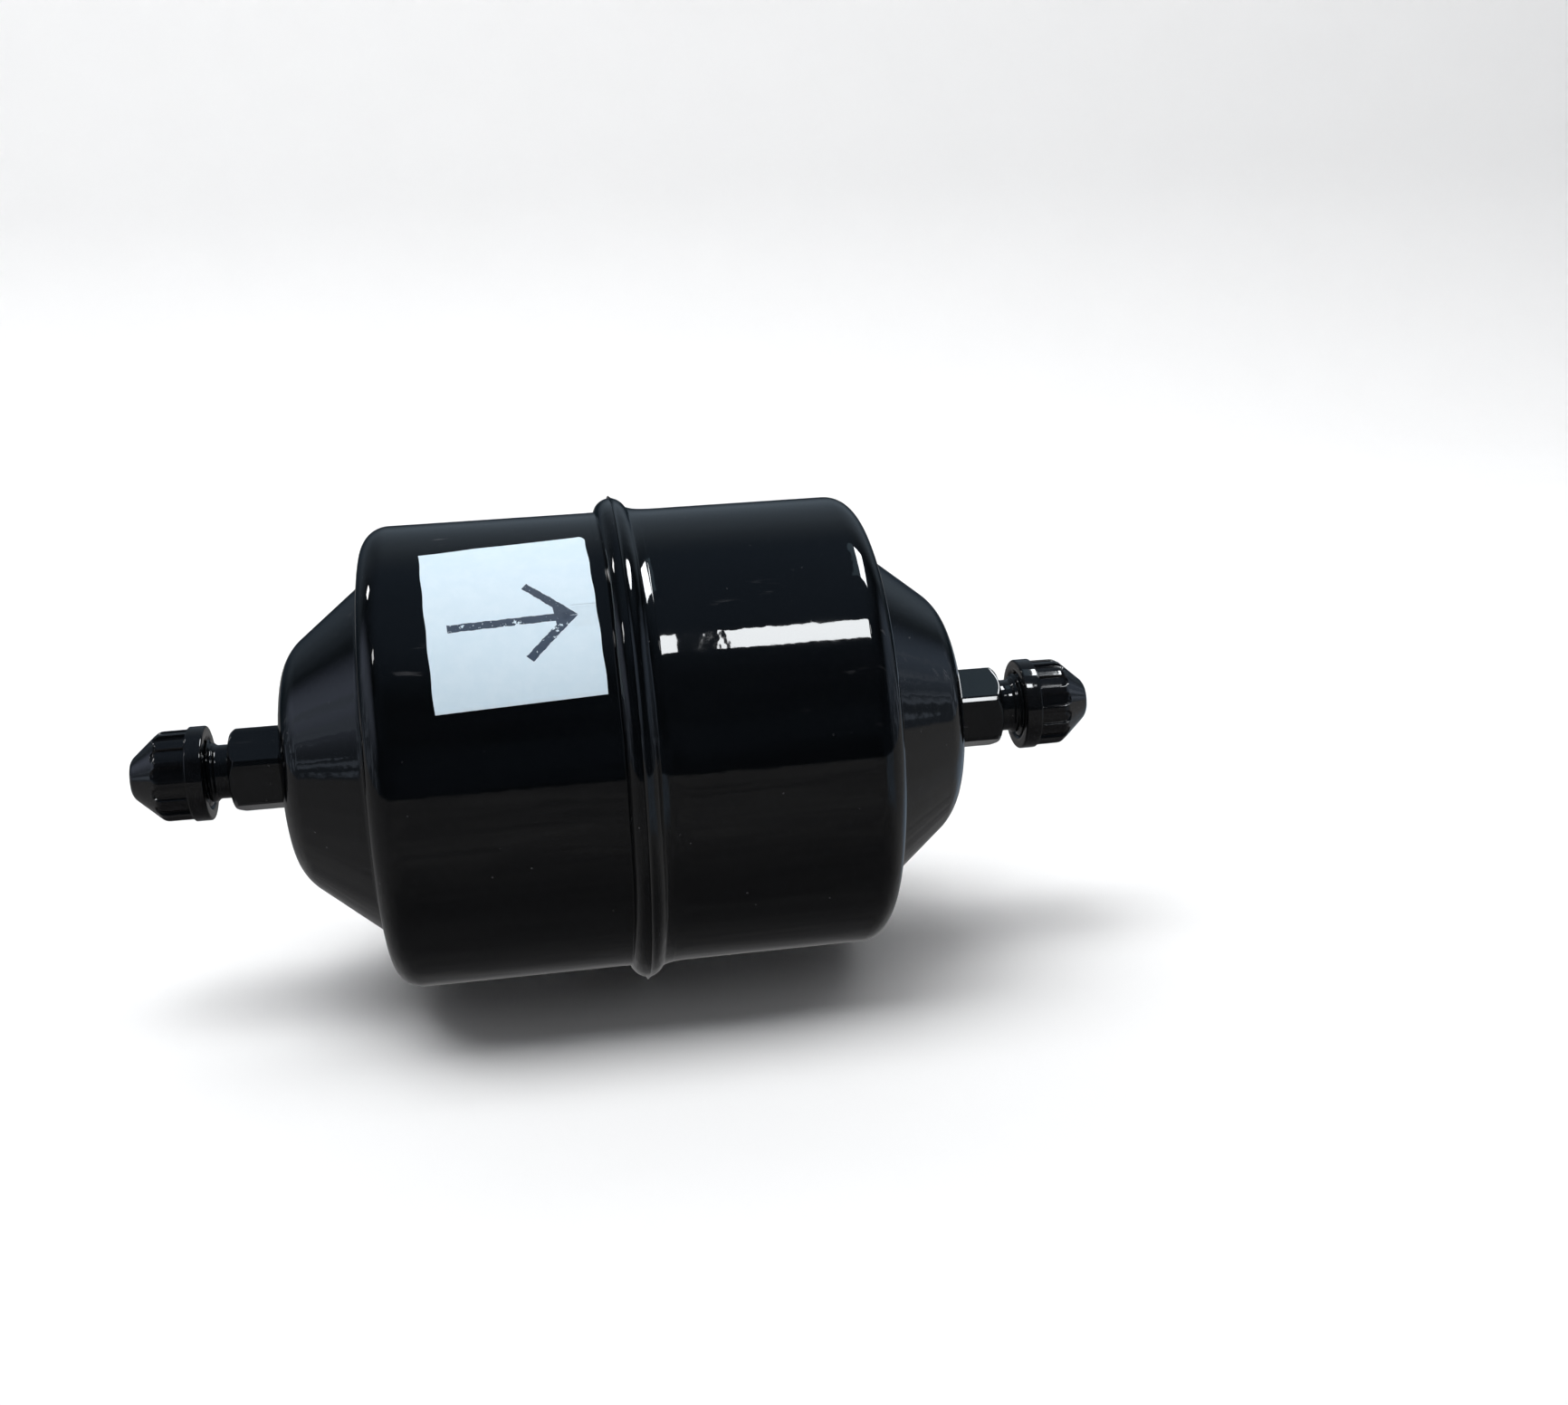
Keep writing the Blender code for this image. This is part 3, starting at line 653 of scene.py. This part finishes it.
def fitting(end, place):
    """Shank, hexagon, neck, 7/16-20 thread, 45 degree flare nose and bore, in one turned body."""
    corner = own_angle(end, HEX_CORNER)
    angles = hex_angles(corner)
    count = len(angles)
    shank = filleted(
        [
            (SHANK_X, BORE_R + 0.2, 0),
            (SHANK_X, SHANK_R, 0.4),
            (BOSS_X, SHANK_R, 0),
            (BOSS_X + 0.1, BOSS_R, 0),
            (HEX_X0, BOSS_R, 0),
        ]
    )
    hex_x, hex_r = hexagon_rows(angles, corner)
    neck = filleted(
        [
            (HEX_X1, NECK_R + 1.0, 0),
            (HEX_X1, NECK_R, 0.55),
            (66.5, NECK_R, 0.4),
            (66.9, THREAD_CORE_R, 0.1),
            (67.0, THREAD_CORE_R, 0),
        ]
    )
    thread_x = np.arange(THREAD_START_X, THREAD_END_X, PITCH / RINGS_PER_TURN)
    ridge = THREAD_HEIGHT * ramp(-helix(thread_x, angles), -0.52, -0.10)
    ridge = ridge * ramp(thread_x, 67.0, 67.9)[:, None]
    cone = (CONE_END_R + (CONE_END_X - thread_x) * CONE_SLOPE)[:, None]
    thread_r = soft_min((THREAD_CORE_R + ridge, np.broadcast_to(cone, ridge.shape)), 0.03)
    nose = filleted(
        [
            (76.8, 3.95, 0),
            (CONE_END_X, CONE_END_R, 0.15),
            (CONE_END_X, BORE_R + 0.2, 0),
            (CONE_END_X - 0.2, BORE_R, 0),
            (65, BORE_R, 0),
            (52.5, BORE_R, 0),
        ]
    )
    xs = np.concatenate((shank[:, 0], hex_x, neck[:, 0], thread_x, nose[:, 0]))
    rs = (spread(shank, count), hex_r, spread(neck, count), thread_r, spread(nose, count))
    name = end + "_flare_fitting"
    piece = ringed(name, xs, np.concatenate(rs), angles, FITTING_ENAMEL, place, sharp=42)
    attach(piece, "housing")
    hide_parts(end + "_fitting")


def braze_fillet(end, place):
    """The brazed joint under its enamel: a hollow fillet that wanders a little round the fitting."""
    angles = full_turn(240)
    reach = (BRAZE_REACH + 0.10 * wander(angles, (2, 3, 5, 8), 0.9))[None, :]
    climb = (BRAZE_CLIMB + 0.04 * wander(angles, (3, 4, 7), 1.6))[None, :]
    t = np.linspace(0, 1, 14)[:, None]
    hollow = 0.10 * np.sin(t * math.pi / 2)
    xs = SHELL_END_X - 0.02 + climb * (1 - np.cos(t * math.pi / 2)) ** 1.15 + hollow
    xs = np.concatenate((xs, np.full((2, len(angles)), SHELL_END_X - 0.3)))
    rs = reach + (BRAZE_INNER_R - reach) * t
    rs = np.concatenate((rs, np.full((1, len(angles)), BRAZE_INNER_R), reach - 0.1))
    piece = ringed(end + "_braze_fillet", xs, rs, angles, FITTING_ENAMEL, place, sharp=60)
    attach(piece, "housing")
    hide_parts(end + "_braze_ring")


def pocket_depth(xs, angles, first):
    """How deep the finger pockets are at each point: square at the collar, round at the nose."""
    pitch = TAU / FLUTES
    across = ((angles - first + pitch / 2) % pitch - pitch / 2) * FLUTE_LAYOUT_R
    s = np.abs(across)[None, :]
    x = xs[:, None]
    middle = FLUTE_X1 - FLUTE_HALF
    to_end = np.where(x > middle, np.hypot(s, x - middle) - FLUTE_HALF, s - FLUTE_HALF)
    inside = np.maximum(to_end, FLUTE_X0 - x)
    full = ramp(-inside, -0.07, 0.15)
    return FLUTE_DEPTH * full * (1 - 0.35 * ramp(x, 74.8, FLUTE_X1))


def flute_angles(first):
    """Points round the cap, closer together at the pockets' sides."""
    half = FLUTE_HALF / FLUTE_LAYOUT_R
    pitch = TAU / FLUTES
    pocket = np.linspace(-half + 0.055, half - 0.055, 5)
    side = np.linspace(half - 0.034, half + 0.020, 7)
    sector = np.concatenate((pocket, side, [pitch / 2], pitch - side[::-1]))
    return np.sort(np.concatenate([(first + k * pitch + sector) % TAU for k in range(FLUTES)]))


def screw_cap(end, place):
    """Ribbed screw cap with its inner thread and the pocket for its seal."""
    first = own_angle(end, FLUTE_ANGLE)
    angles = flute_angles(first)
    count = len(angles)
    mouth = filleted(
        [
            (CAP_X0 + 0.05, 6.15, 0),
            (CAP_X0, 6.35, 0.1),
            (CAP_X0, COLLAR_R, 0.35),
            (COLLAR_END, COLLAR_R, 0.3),
            (COLLAR_END + 0.06, CAP_R, 0.12),
            (COLLAR_END + 0.3, CAP_R, 0),
        ]
    )[:-1]
    nose = filleted(
        [
            (COLLAR_END + 0.3, CAP_R, 0),
            (75.25, 7.34, 1.6),
            (79.6, 3.5, 1.2),
            (CAP_X1, 2.9, 0.35),
            (CAP_X1, 0.25, 0),
        ],
        14,
    )
    tip = nose[nose[:, 0] > TIP_X]
    body_x = np.concatenate((np.arange(70.66, 76.3, 0.11), np.linspace(76.4, 79.15, 24), tip[:, 0]))
    body_r = np.interp(body_x, nose[:, 0], nose[:, 1])
    body_r[-len(tip):] = tip[:, 1]
    body = body_r[:, None] - pocket_depth(body_x, angles, first)
    inner = filleted(
        [
            (79.0, 0.25, 0),
            (79.0, SEAL_POCKET_R, 0.3),
            (77.9, SEAL_POCKET_R, 0),
            (76.1, CAP_BORE_R, 0.2),
        ]
    )
    thread_x = np.arange(76.0, CAP_X0 + 0.05, -PITCH / RINGS_PER_TURN)
    groove = GROOVE_DEPTH * ramp(-helix(thread_x, angles), -0.61, -0.20)
    groove = groove * ramp(-thread_x, -76.0, -75.4)[:, None]
    lead = (CAP_BORE_R + np.clip(CAP_X0 + 1.1 - thread_x, 0, None) * 0.92)[:, None]
    bore = -soft_min((-(CAP_BORE_R + groove), -np.broadcast_to(lead, groove.shape)), 0.03)
    # the inner skin starts on the axis, and the outer one ends on it at the tip
    xs = np.concatenate((inner[:, 0], thread_x, mouth[:, 0], body_x))
    rs = np.concatenate((spread(inner, count), bore, spread(mouth, count), body))
    name = end + "_screw_cap"
    piece = ringed(name, xs, rs, angles, CAP_PLASTIC, place, closed=False, sharp=42)
    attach(piece, end + "_cap")
    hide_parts(end + "_cap")


def seal_disc(end, place):
    """The rubber disc in the cap, with a shallow groove where the flare seat presses on it."""
    path = filleted(
        [
            (77.9, 0.3, 0),
            (77.9, 1.9, 0.3),
            (78.0, 2.1, 0.2),
            (77.9, 2.3, 0.2),
            (77.9, 2.9, 0.15),
            (78.7, 2.9, 0.15),
            (78.7, 0.3, 0),
        ]
    )
    name = end + "_seal_disc"
    piece = ringed(name, path[:, 0], path[:, 1], full_turn(96), RUBBER, place, closed=False)
    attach(piece, end + "_cap_seal")
    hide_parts(end + "_cap_seal")


def end_set(end, place):
    fitting(end, place)
    braze_fillet(end, place)
    screw_cap(end, place)
    seal_disc(end, place)


# ---------------------------------------------------------------- sticker
def on_shell(u, v, lift):
    """Sticker coordinates, in millimetres from its centre, laid on the shell."""
    x = LABEL_X + u * math.cos(LABEL_SKEW) - v * math.sin(LABEL_SKEW)
    up = u * math.sin(LABEL_SKEW) + v * math.cos(LABEL_SKEW)
    return around(x, SHELL_R + lift, LABEL_ANGLE + up / SHELL_R)


def paper_top(u, v):
    """The height of the sticker's face above the shell, with its faint ripples."""
    return LABEL_TOP + 0.010 * (1 + np.sin(u * 0.8 + 0.4 * v)) * (1 + np.cos(v * 0.55))


def sheet_piece(name, u, v, low, high, finish):
    """A thin closed sheet over a grid of sticker coordinates, from height low to height high."""
    rows, cols = u.shape
    faces_up, faces_down = on_shell(u, v, high), on_shell(u, v, low)
    verts = np.concatenate((faces_up.reshape(-1, 3), faces_down.reshape(-1, 3)))
    grid = np.arange(rows * cols).reshape(rows, cols)
    quads = np.stack((grid[:-1, :-1], grid[:-1, 1:], grid[1:, 1:], grid[1:, :-1]), -1)
    quads = quads.reshape(-1, 4)
    faces = quads.tolist() + (quads[:, ::-1] + rows * cols).tolist()
    rim = np.concatenate((grid[0, :], grid[1:, -1], grid[-1, -2::-1], grid[-2:0:-1, 0]))
    after = np.roll(rim, -1)
    faces += np.stack((after, rim, rim + rows * cols, after + rows * cols), 1).tolist()
    piece = mesh_object(name, verts, faces, finish, None, 35)
    layer = piece.data.uv_layers.new(name="sheet_mm")
    flat = np.concatenate((np.stack((u, v), -1).reshape(-1, 2),) * 2)
    corner = np.empty(len(piece.data.loops), int)
    piece.data.loops.foreach_get("vertex_index", corner)
    layer.data.foreach_set("uv", flat[corner].ravel())
    return piece


def sticker():
    """The paper, cut a little out of square, with one corner rounded off and slightly lifted."""
    s, t = np.meshgrid(np.linspace(0, 1, 61), np.linspace(0, 1, 69))
    bl, br, tr, tl = (np.array(c) for c in LABEL_CORNERS)
    flat = ((1 - s) * (1 - t))[..., None] * bl + (s * (1 - t))[..., None] * br
    flat = flat + (s * t)[..., None] * tr + ((1 - s) * t)[..., None] * tl
    u, v = flat[..., 0], flat[..., 1]
    v = v + 0.18 * np.exp(-(((u + 3.4) / 3.0) ** 2)) * t**6
    u = u + 0.06 * np.sin(v * 0.9) * (s**8 - (1 - s) ** 8)
    clip = np.clip((s - 0.965) / 0.035, 0, 1) * np.clip((t - 0.965) / 0.035, 0, 1)
    u, v = u - 0.5 * clip, v - 0.4 * clip
    crease = 0.05 * np.exp(-(((v + 0.2) / 0.35) ** 2)) * ramp(u, 8.6, 9.6)
    lifted = 0.10 * (ramp(s, 0.9, 1.0) * ramp(t, 0.9, 1.0)) ** 2
    top = paper_top(u, v) + crease + lifted
    piece = sheet_piece("flow_sticker", u, v, top - LABEL_THICKNESS, top, STICKER)
    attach(piece, "housing")
    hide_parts("flow_label")


def arrow_part(name, corners, waves):
    """One stroke of the arrow: a quadrilateral with slightly rough long edges."""
    a, b, c, d = (np.array(corner, float) for corner in corners)
    s, t = np.meshgrid(np.linspace(0, 1, 72), np.linspace(0, 1, 9))
    s3, t3 = s[..., None], t[..., None]
    flat = (1 - s3) * ((1 - t3) * a + t3 * d) + s3 * ((1 - t3) * b + t3 * c)
    rough = 0.040 * np.sin(waves * s + 2 * t) + 0.022 * np.sin(2.7 * waves * s + t)
    rough = (2 * t - 1) ** 3 * rough * (1 - s**6)
    flat = flat + rough[..., None] * (d - a) / np.linalg.norm(d - a)
    u, v = flat[..., 0], flat[..., 1]
    paper = paper_top(u, v)
    piece = sheet_piece(name, u, v, paper - 0.02, paper + 0.014, INK)
    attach(piece, "housing")


def arrow():
    """A plain arrow that shows the way of the flow, from the inlet to the outlet."""
    strokes = (
        ("arrow_shaft", ((-9.6, -2.6), (8.2, -2.65), (8.2, -1.4), (-9.6, -1.3)), 37),
        ("arrow_upper_barb", ((2.05, 4.05), (7.9, -2.0), (9.8, -1.95), (2.85, 4.95)), 26),
        ("arrow_lower_barb", ((2.35, -8.95), (9.8, -2.05), (7.9, -2.0), (1.4, -8.0)), 29),
        ("arrow_wedge", ((6.5, -3.9), (8.6, -2.4), (8.6, -1.6), (6.2, -0.1)), 9),
    )
    for name, corners, waves in strokes:
        arrow_part(name, corners, waves)


# ---------------------------------------------------------------- inside the shell
def swept_wire(name, points, radius, finish, sides=14):
    """A round wire along points, in millimetres, with closed ends."""
    along = np.gradient(points, axis=0)
    along /= np.linalg.norm(along, axis=1)[:, None]
    out = points * (0, 1, 1)
    out -= np.sum(out * along, 1)[:, None] * along
    out /= np.linalg.norm(out, axis=1)[:, None]
    side = np.cross(along, out)
    a = full_turn(sides)[None, :, None]
    ring = np.cos(a) * out[:, None, :] + np.sin(a) * side[:, None, :]
    verts = (points[:, None, :] + radius * ring).reshape(-1, 3)
    first, last = np.arange(sides), np.arange(sides) + (len(points) - 1) * sides
    faces = [first.tolist(), last[::-1].tolist()]
    for k in range(len(points) - 1):
        faces += band_faces(k * sides, (k + 1) * sides, sides)
    return mesh_object(name, verts, faces, finish, None, 50)


def pack_spring():
    """The conical coil behind the pressure plate, drawn at rest: in the drier it shortens as the pack
    moves towards it, but nothing here moves it.
    """
    share = np.linspace(0, 1, 270)
    angle = TAU * SPRING_TURNS * share
    x = SPRING_X0 + (SPRING_X1 - SPRING_X0) * share
    r = SPRING_R0 + (SPRING_R1 - SPRING_R0) * share
    points = np.stack((x, r * np.cos(angle), r * np.sin(angle)), 1)
    piece = swept_wire("pack_spring", points, SPRING_WIRE_R, SPRING_WIRE)
    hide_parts("core_spring")
    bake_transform(piece)


def felt_disc(name, node, body):
    """A felted pad in its CAD solid's place, with a soft rim and uneven faces."""
    low, high = (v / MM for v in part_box(node))
    x0, x1, radius = low.x + 0.12, high.x - 0.12, high.y - 0.1
    angles = full_turn(180)
    rim = [(x0, FELT_CENTRE_R, 0), (x0, radius, 1.1), (x1, radius, 1.1), (x1, FELT_CENTRE_R, 0)]
    path = filleted(rim, 8)
    face = [(x0, r) for r in np.linspace(1.5, radius - 2, 22)]
    back = [(x1, r) for r in np.linspace(radius - 2, 1.5, 22)]
    path = np.concatenate((path[:1], face, path[1:-1], back, path[-1:]))
    x, r = path[:, 0][:, None], path[:, 1][:, None]
    middle = (x0 + x1) / 2
    wave = wander(angles, (3, 5, 8), 0.3)[None, :] * np.sin(r * 0.9)
    sunk = x + np.sign(middle - x) * FELT_CROWN * (1 + 0.5 * wave)
    xs = np.where(np.abs(x - middle) > 0.2, sunk, x)
    rs = r * (1 - 0.002 * (1 + wander(angles, (4, 9, 14), 1.3))[None, :])
    piece = ringed(name, xs, rs, angles, FELT, closed=False, sharp=50)
    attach(piece, body)
    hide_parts(node)


def felt_band():
    """The ring of felt that seals the desiccant block against the shell."""
    low, high = (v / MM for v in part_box("core_side_seal"))
    x0, x1, outer = low.x + 0.1, high.x - 0.1, high.y
    rim = [(x0, BAND_INNER_R, 0.3), (x1, BAND_INNER_R, 0.3), (x1, outer, 0.9), (x0, outer, 0.9)]
    path = filleted(rim, 8, True)
    angles = full_turn(240)
    r = path[:, 1][:, None]
    rs = r - 0.05 * (1 + wander(angles, (5, 11, 17), 0.8))[None, :] * (r > 35)
    piece = ringed("felt_band", path[:, 0], rs, angles, FELT, sharp=50)
    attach(piece, "filter_pack")
    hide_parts("core_side_seal")


def internals():
    """The filter pack. Its plates, screen and block keep their CAD shapes, with new materials."""
    pack_spring()
    felt_disc("inlet_felt", "inlet_pad", "filter_pack")
    felt_disc("outlet_felt", "outlet_pad", "housing")
    felt_band()
    finishes = {"pressure_plate": ZINC, "outlet_plate": ZINC, "outlet_screen": ZINC}
    finishes["desiccant_core"] = DESICCANT
    for name, finish in finishes.items():
        slots = NODES[name].data.materials
        for k in range(len(slots)):
            slots[k] = finish


# ---------------------------------------------------------------- stage, light and camera
# Lengths from here on are in metres
FLOOR_Z = -0.04022
FLOOR_FRONT_Y = -1.6
WALL_Y = 0.70
WALL_TOP_Z = 1.10
WALL_CURVE = 0.16
STAGE_HALF_WIDTH = 3.2
GLINT_DISTANCE = 4.0

CAMERA_SENSOR_MM = 36.0
CAMERA_LENS_MM = 39.89515
CAMERA_DISTANCE = 0.2943
CAMERA_X = -0.01578
CAMERA_YAW = math.radians(8.336)
CAMERA_PITCH = math.radians(0.699)
CAMERA_ROLL = math.radians(-4.871)
CAMERA_ELEVATION = math.radians(15.0)


def stage():
    """A pale floor that curves up into a back wall."""
    curve = [
        (
            WALL_Y - WALL_CURVE + WALL_CURVE * math.sin(a),
            FLOOR_Z + WALL_CURVE * (1 - math.cos(a)),
        )
        for a in np.linspace(0, math.pi / 2, 24)
    ]
    line = [(FLOOR_FRONT_Y, FLOOR_Z), *curve, (WALL_Y, WALL_TOP_Z)]
    verts = [(x, y, z) for y, z in line for x in (-STAGE_HALF_WIDTH, STAGE_HALF_WIDTH)]
    faces = [(2 * k, 2 * k + 1, 2 * k + 3, 2 * k + 2) for k in range(len(line) - 1)]
    f = Finish("stage_white", Roughness=0.9, Specular_IOR_Level=0.1)
    tone = f.mix(f.noise(30, 3), (0.86, 0.86, 0.86), (0.88, 0.88, 0.88))
    finish = f.done(Base_Color=tone)
    sweep = mesh_object("stage_sweep", np.array(verts) / MM, faces, finish, None, 60)
    sweep.visible_glossy = False


def lamp(name, place, size, power, colour, shown):
    """A rectangular lamp at a placement matrix, shown either to "diffuse" or to "glossy" rays."""
    light = bpy.data.lights.new(name, "AREA")
    light.shape = "RECTANGLE"
    light.size, light.size_y = size
    light.energy = power
    light.color = colour
    obj = bpy.data.objects.new(name, light)
    obj.matrix_world = place
    obj.visible_camera = False
    obj.visible_diffuse = shown == "diffuse"
    obj.visible_glossy = shown == "glossy"
    bpy.context.scene.collection.objects.link(obj)


def softbox(name, place, size, power, colour, target=(0, 0, 0)):
    """A broad soft lamp that lights surfaces without being reflected in them."""
    turn = (Vector(target) - Vector(place)).to_track_quat("-Z", "Y").to_matrix().to_4x4()
    lamp(name, Matrix.Translation(place) @ turn, size, power, colour, "diffuse")


def glint(name, sideways, up, radiance, colour=(1, 1, 1)):
    """A bright panel that shows only as a reflection. Its two ranges are the angles sideways from -Y
    towards +X, and upwards from -Y over the top, at which it is seen."""
    a, e = math.radians(sum(sideways) / 2), math.radians(sum(up) / 2)
    out = Vector((math.sin(a), -math.cos(a) * math.cos(e), math.cos(a) * math.sin(e)))
    across = Vector((math.cos(a), math.sin(a) * math.cos(e), -math.sin(a) * math.sin(e)))
    along = Vector((0, math.sin(e), math.cos(e)))
    turn = Matrix((across, along, out)).transposed().to_4x4()
    half_width = math.radians(sideways[1] - sideways[0]) / 2
    half_height = math.radians(up[1] - up[0]) * math.cos(a) / 2
    width = 2 * GLINT_DISTANCE * math.tan(half_width)
    height = 2 * GLINT_DISTANCE * math.tan(half_height)
    power = radiance * math.pi * width * height
    place = Matrix.Translation(out * GLINT_DISTANCE) @ turn
    lamp(name, place, (width, height), power, colour, "glossy")


def lights():
    cool = (0.97, 0.985, 1.0)
    softbox("key_soft", (-0.40, 0.0, 1.45), (1.0, 1.0), 14.4, cool)
    softbox("fill_soft", (0.8, -0.7, 0.7), (1.2, 1.2), 0.8, cool)
    softbox("wall_soft", (0.0, 0.05, 1.3), (2.2, 0.8), 12, (1, 1, 1), (0, 0.75, 0.2))
    glint("window_right", (6.6, 16.4), (54.5, 64), 24, (0.95, 0.98, 1.0))
    glint("window_far_right", (18.5, 20.5), (57, 62), 8, (0.95, 0.98, 1.0))
    glint("skylight", (19, 33), (90, 113), 26, (0.93, 0.97, 1.0))
    glint("skylight_edge", (12, 17.5), (90, 113), 0.55, (0.6, 0.85, 1.0))
    glint("window_left", (-41, -35), (120, 127), 24)
    glint("window_left_low", (-44.5, -38.5), (71, 78), 12)


def room_colour(w):
    """What the gloss sees above the horizon: a dim room, a cool ceiling and lighter sides."""
    way = w.node("ShaderNodeTexCoord").outputs["Generated"]
    x, y, z = w.node("ShaderNodeSeparateXYZ", Vector=way).outputs
    broad = w.node("ShaderNodeTexNoise", Vector=way, Scale=3.2, Detail=3.0).outputs["Fac"]
    fine = w.node("ShaderNodeTexNoise", Vector=way, Scale=9.0, Detail=4.0, Distortion=1.2)
    fine = fine.outputs["Fac"]
    room = w.mix(w.span(broad, 0.35, 0.7), (0.012, 0.020, 0.026), (0.040, 0.055, 0.075))
    ceiling = w.times(w.span(z, 0.6, 1.0), 0.8)
    room = w.mix(ceiling, room, (0.14, 0.20, 0.28))
    behind = w.times(w.span(y, 0.35, 0.75), w.span(z, 0.0, 0.3))
    behind = w.times(behind, w.span(x, -0.35, 0.05, 0.45, 1.0))
    room = w.mix(behind, room, (0.20, 0.25, 0.30))
    left = w.times(w.span(x, -0.95, -0.75, 1.0, 0.0), w.span(z, 0.05, 0.35))
    room = w.mix(left, room, (0.60, 0.68, 0.90))
    right = w.times(w.span(x, 0.80, 0.95), w.span(z, 0.0, 0.3, 0.0, 0.8))
    room = w.mix(right, room, (0.36, 0.48, 0.66))
    sides = w.span(w.math("ABSOLUTE", x), 0.80, 0.95)
    sides = w.times(sides, w.span(fine, 0.50, 0.62, 0.25, 1.0))
    room = w.mix(sides, room, (0.46, 0.54, 0.66))

    table = w.mix(w.span(fine, 0.3, 0.7), (0.15, 0.15, 0.155), (0.25, 0.25, 0.25))
    table = w.mix(w.times(w.span(x, 0.5, 1.0), 0.8), table, (0.36, 0.36, 0.36))
    table = w.mix(w.times(w.span(x, -1.0, -0.5, 1.0, 0.0), 0.8), table, (0.25, 0.25, 0.255))
    patch = w.times(w.span(x, 0.42, 0.55), w.span(x, 0.78, 0.90, 1.0, 0.0))
    patch = w.times(patch, w.times(w.span(z, -0.52, -0.38), w.span(fine, 0.3, 0.6, 0.4, 1.0)))
    table = w.mix(patch, table, (0.33, 0.42, 0.53))
    table = w.mix(w.span(z, -0.95, -0.5, 0.75, 0.0), table, (0.05, 0.05, 0.052))
    return w.mix(w.span(z, -0.112, -0.082), table, room)


def world():
    """White behind the stage, soft grey light on surfaces, and a dim room in reflections."""
    made = bpy.data.worlds.new("studio")
    made.use_nodes = True
    w = Nodes(made.node_tree)
    w.tree.nodes.clear()
    path = w.node("ShaderNodeLightPath").outputs
    dim = w.node("ShaderNodeBackground", Color=room_colour(w))
    pale = w.node("ShaderNodeBackground", Color=(1.0, 1.0, 1.0, 1))
    soft = w.node("ShaderNodeBackground", Color=(0.19, 0.19, 0.195, 1))
    seen = soft
    for ray, background in (("Is Glossy Ray", dim), ("Is Camera Ray", pale)):
        choice = w.node("ShaderNodeMixShader")
        for socket, source in zip(choice.inputs, (path[ray], seen.outputs[0], background.outputs[0])):
            w.feed(socket, source)
        seen = choice
    w.node("ShaderNodeOutputWorld", Surface=seen.outputs[0])
    bpy.context.scene.world = made


def camera():
    """A level camera turned and tipped a little, then swung up round the object's axis."""
    cy, sy = math.cos(CAMERA_YAW), math.sin(CAMERA_YAW)
    cp, sp = math.cos(CAMERA_PITCH), math.sin(CAMERA_PITCH)
    forward = Vector((sy * cp, cy * cp, sp))
    right = Vector((cy, -sy, 0))
    up = right.cross(forward)
    cr, sr = math.cos(CAMERA_ROLL), math.sin(CAMERA_ROLL)
    turn = Matrix((cr * right + sr * up, cr * up - sr * right, -forward)).transposed().to_4x4()
    place = Matrix.Translation((CAMERA_X, -CAMERA_DISTANCE, 0)) @ turn
    data = bpy.data.cameras.new("camera")
    data.sensor_width = CAMERA_SENSOR_MM
    data.lens = CAMERA_LENS_MM
    data.clip_start = 0.01
    obj = bpy.data.objects.new("camera", data)
    bpy.context.scene.collection.objects.link(obj)
    obj.matrix_world = Matrix.Rotation(-CAMERA_ELEVATION, 4, "X") @ place
    bpy.context.scene.camera = obj


camera()
shell_half("outlet", 1)
shell_half("inlet", -1)
seam_bead()
end_set("outlet", Matrix.Identity(4))
end_set("inlet", HALF_TURN)
sticker()
arrow()
internals()
stage()
lights()
world()
bpy.context.scene.view_settings.view_transform = "Standard"
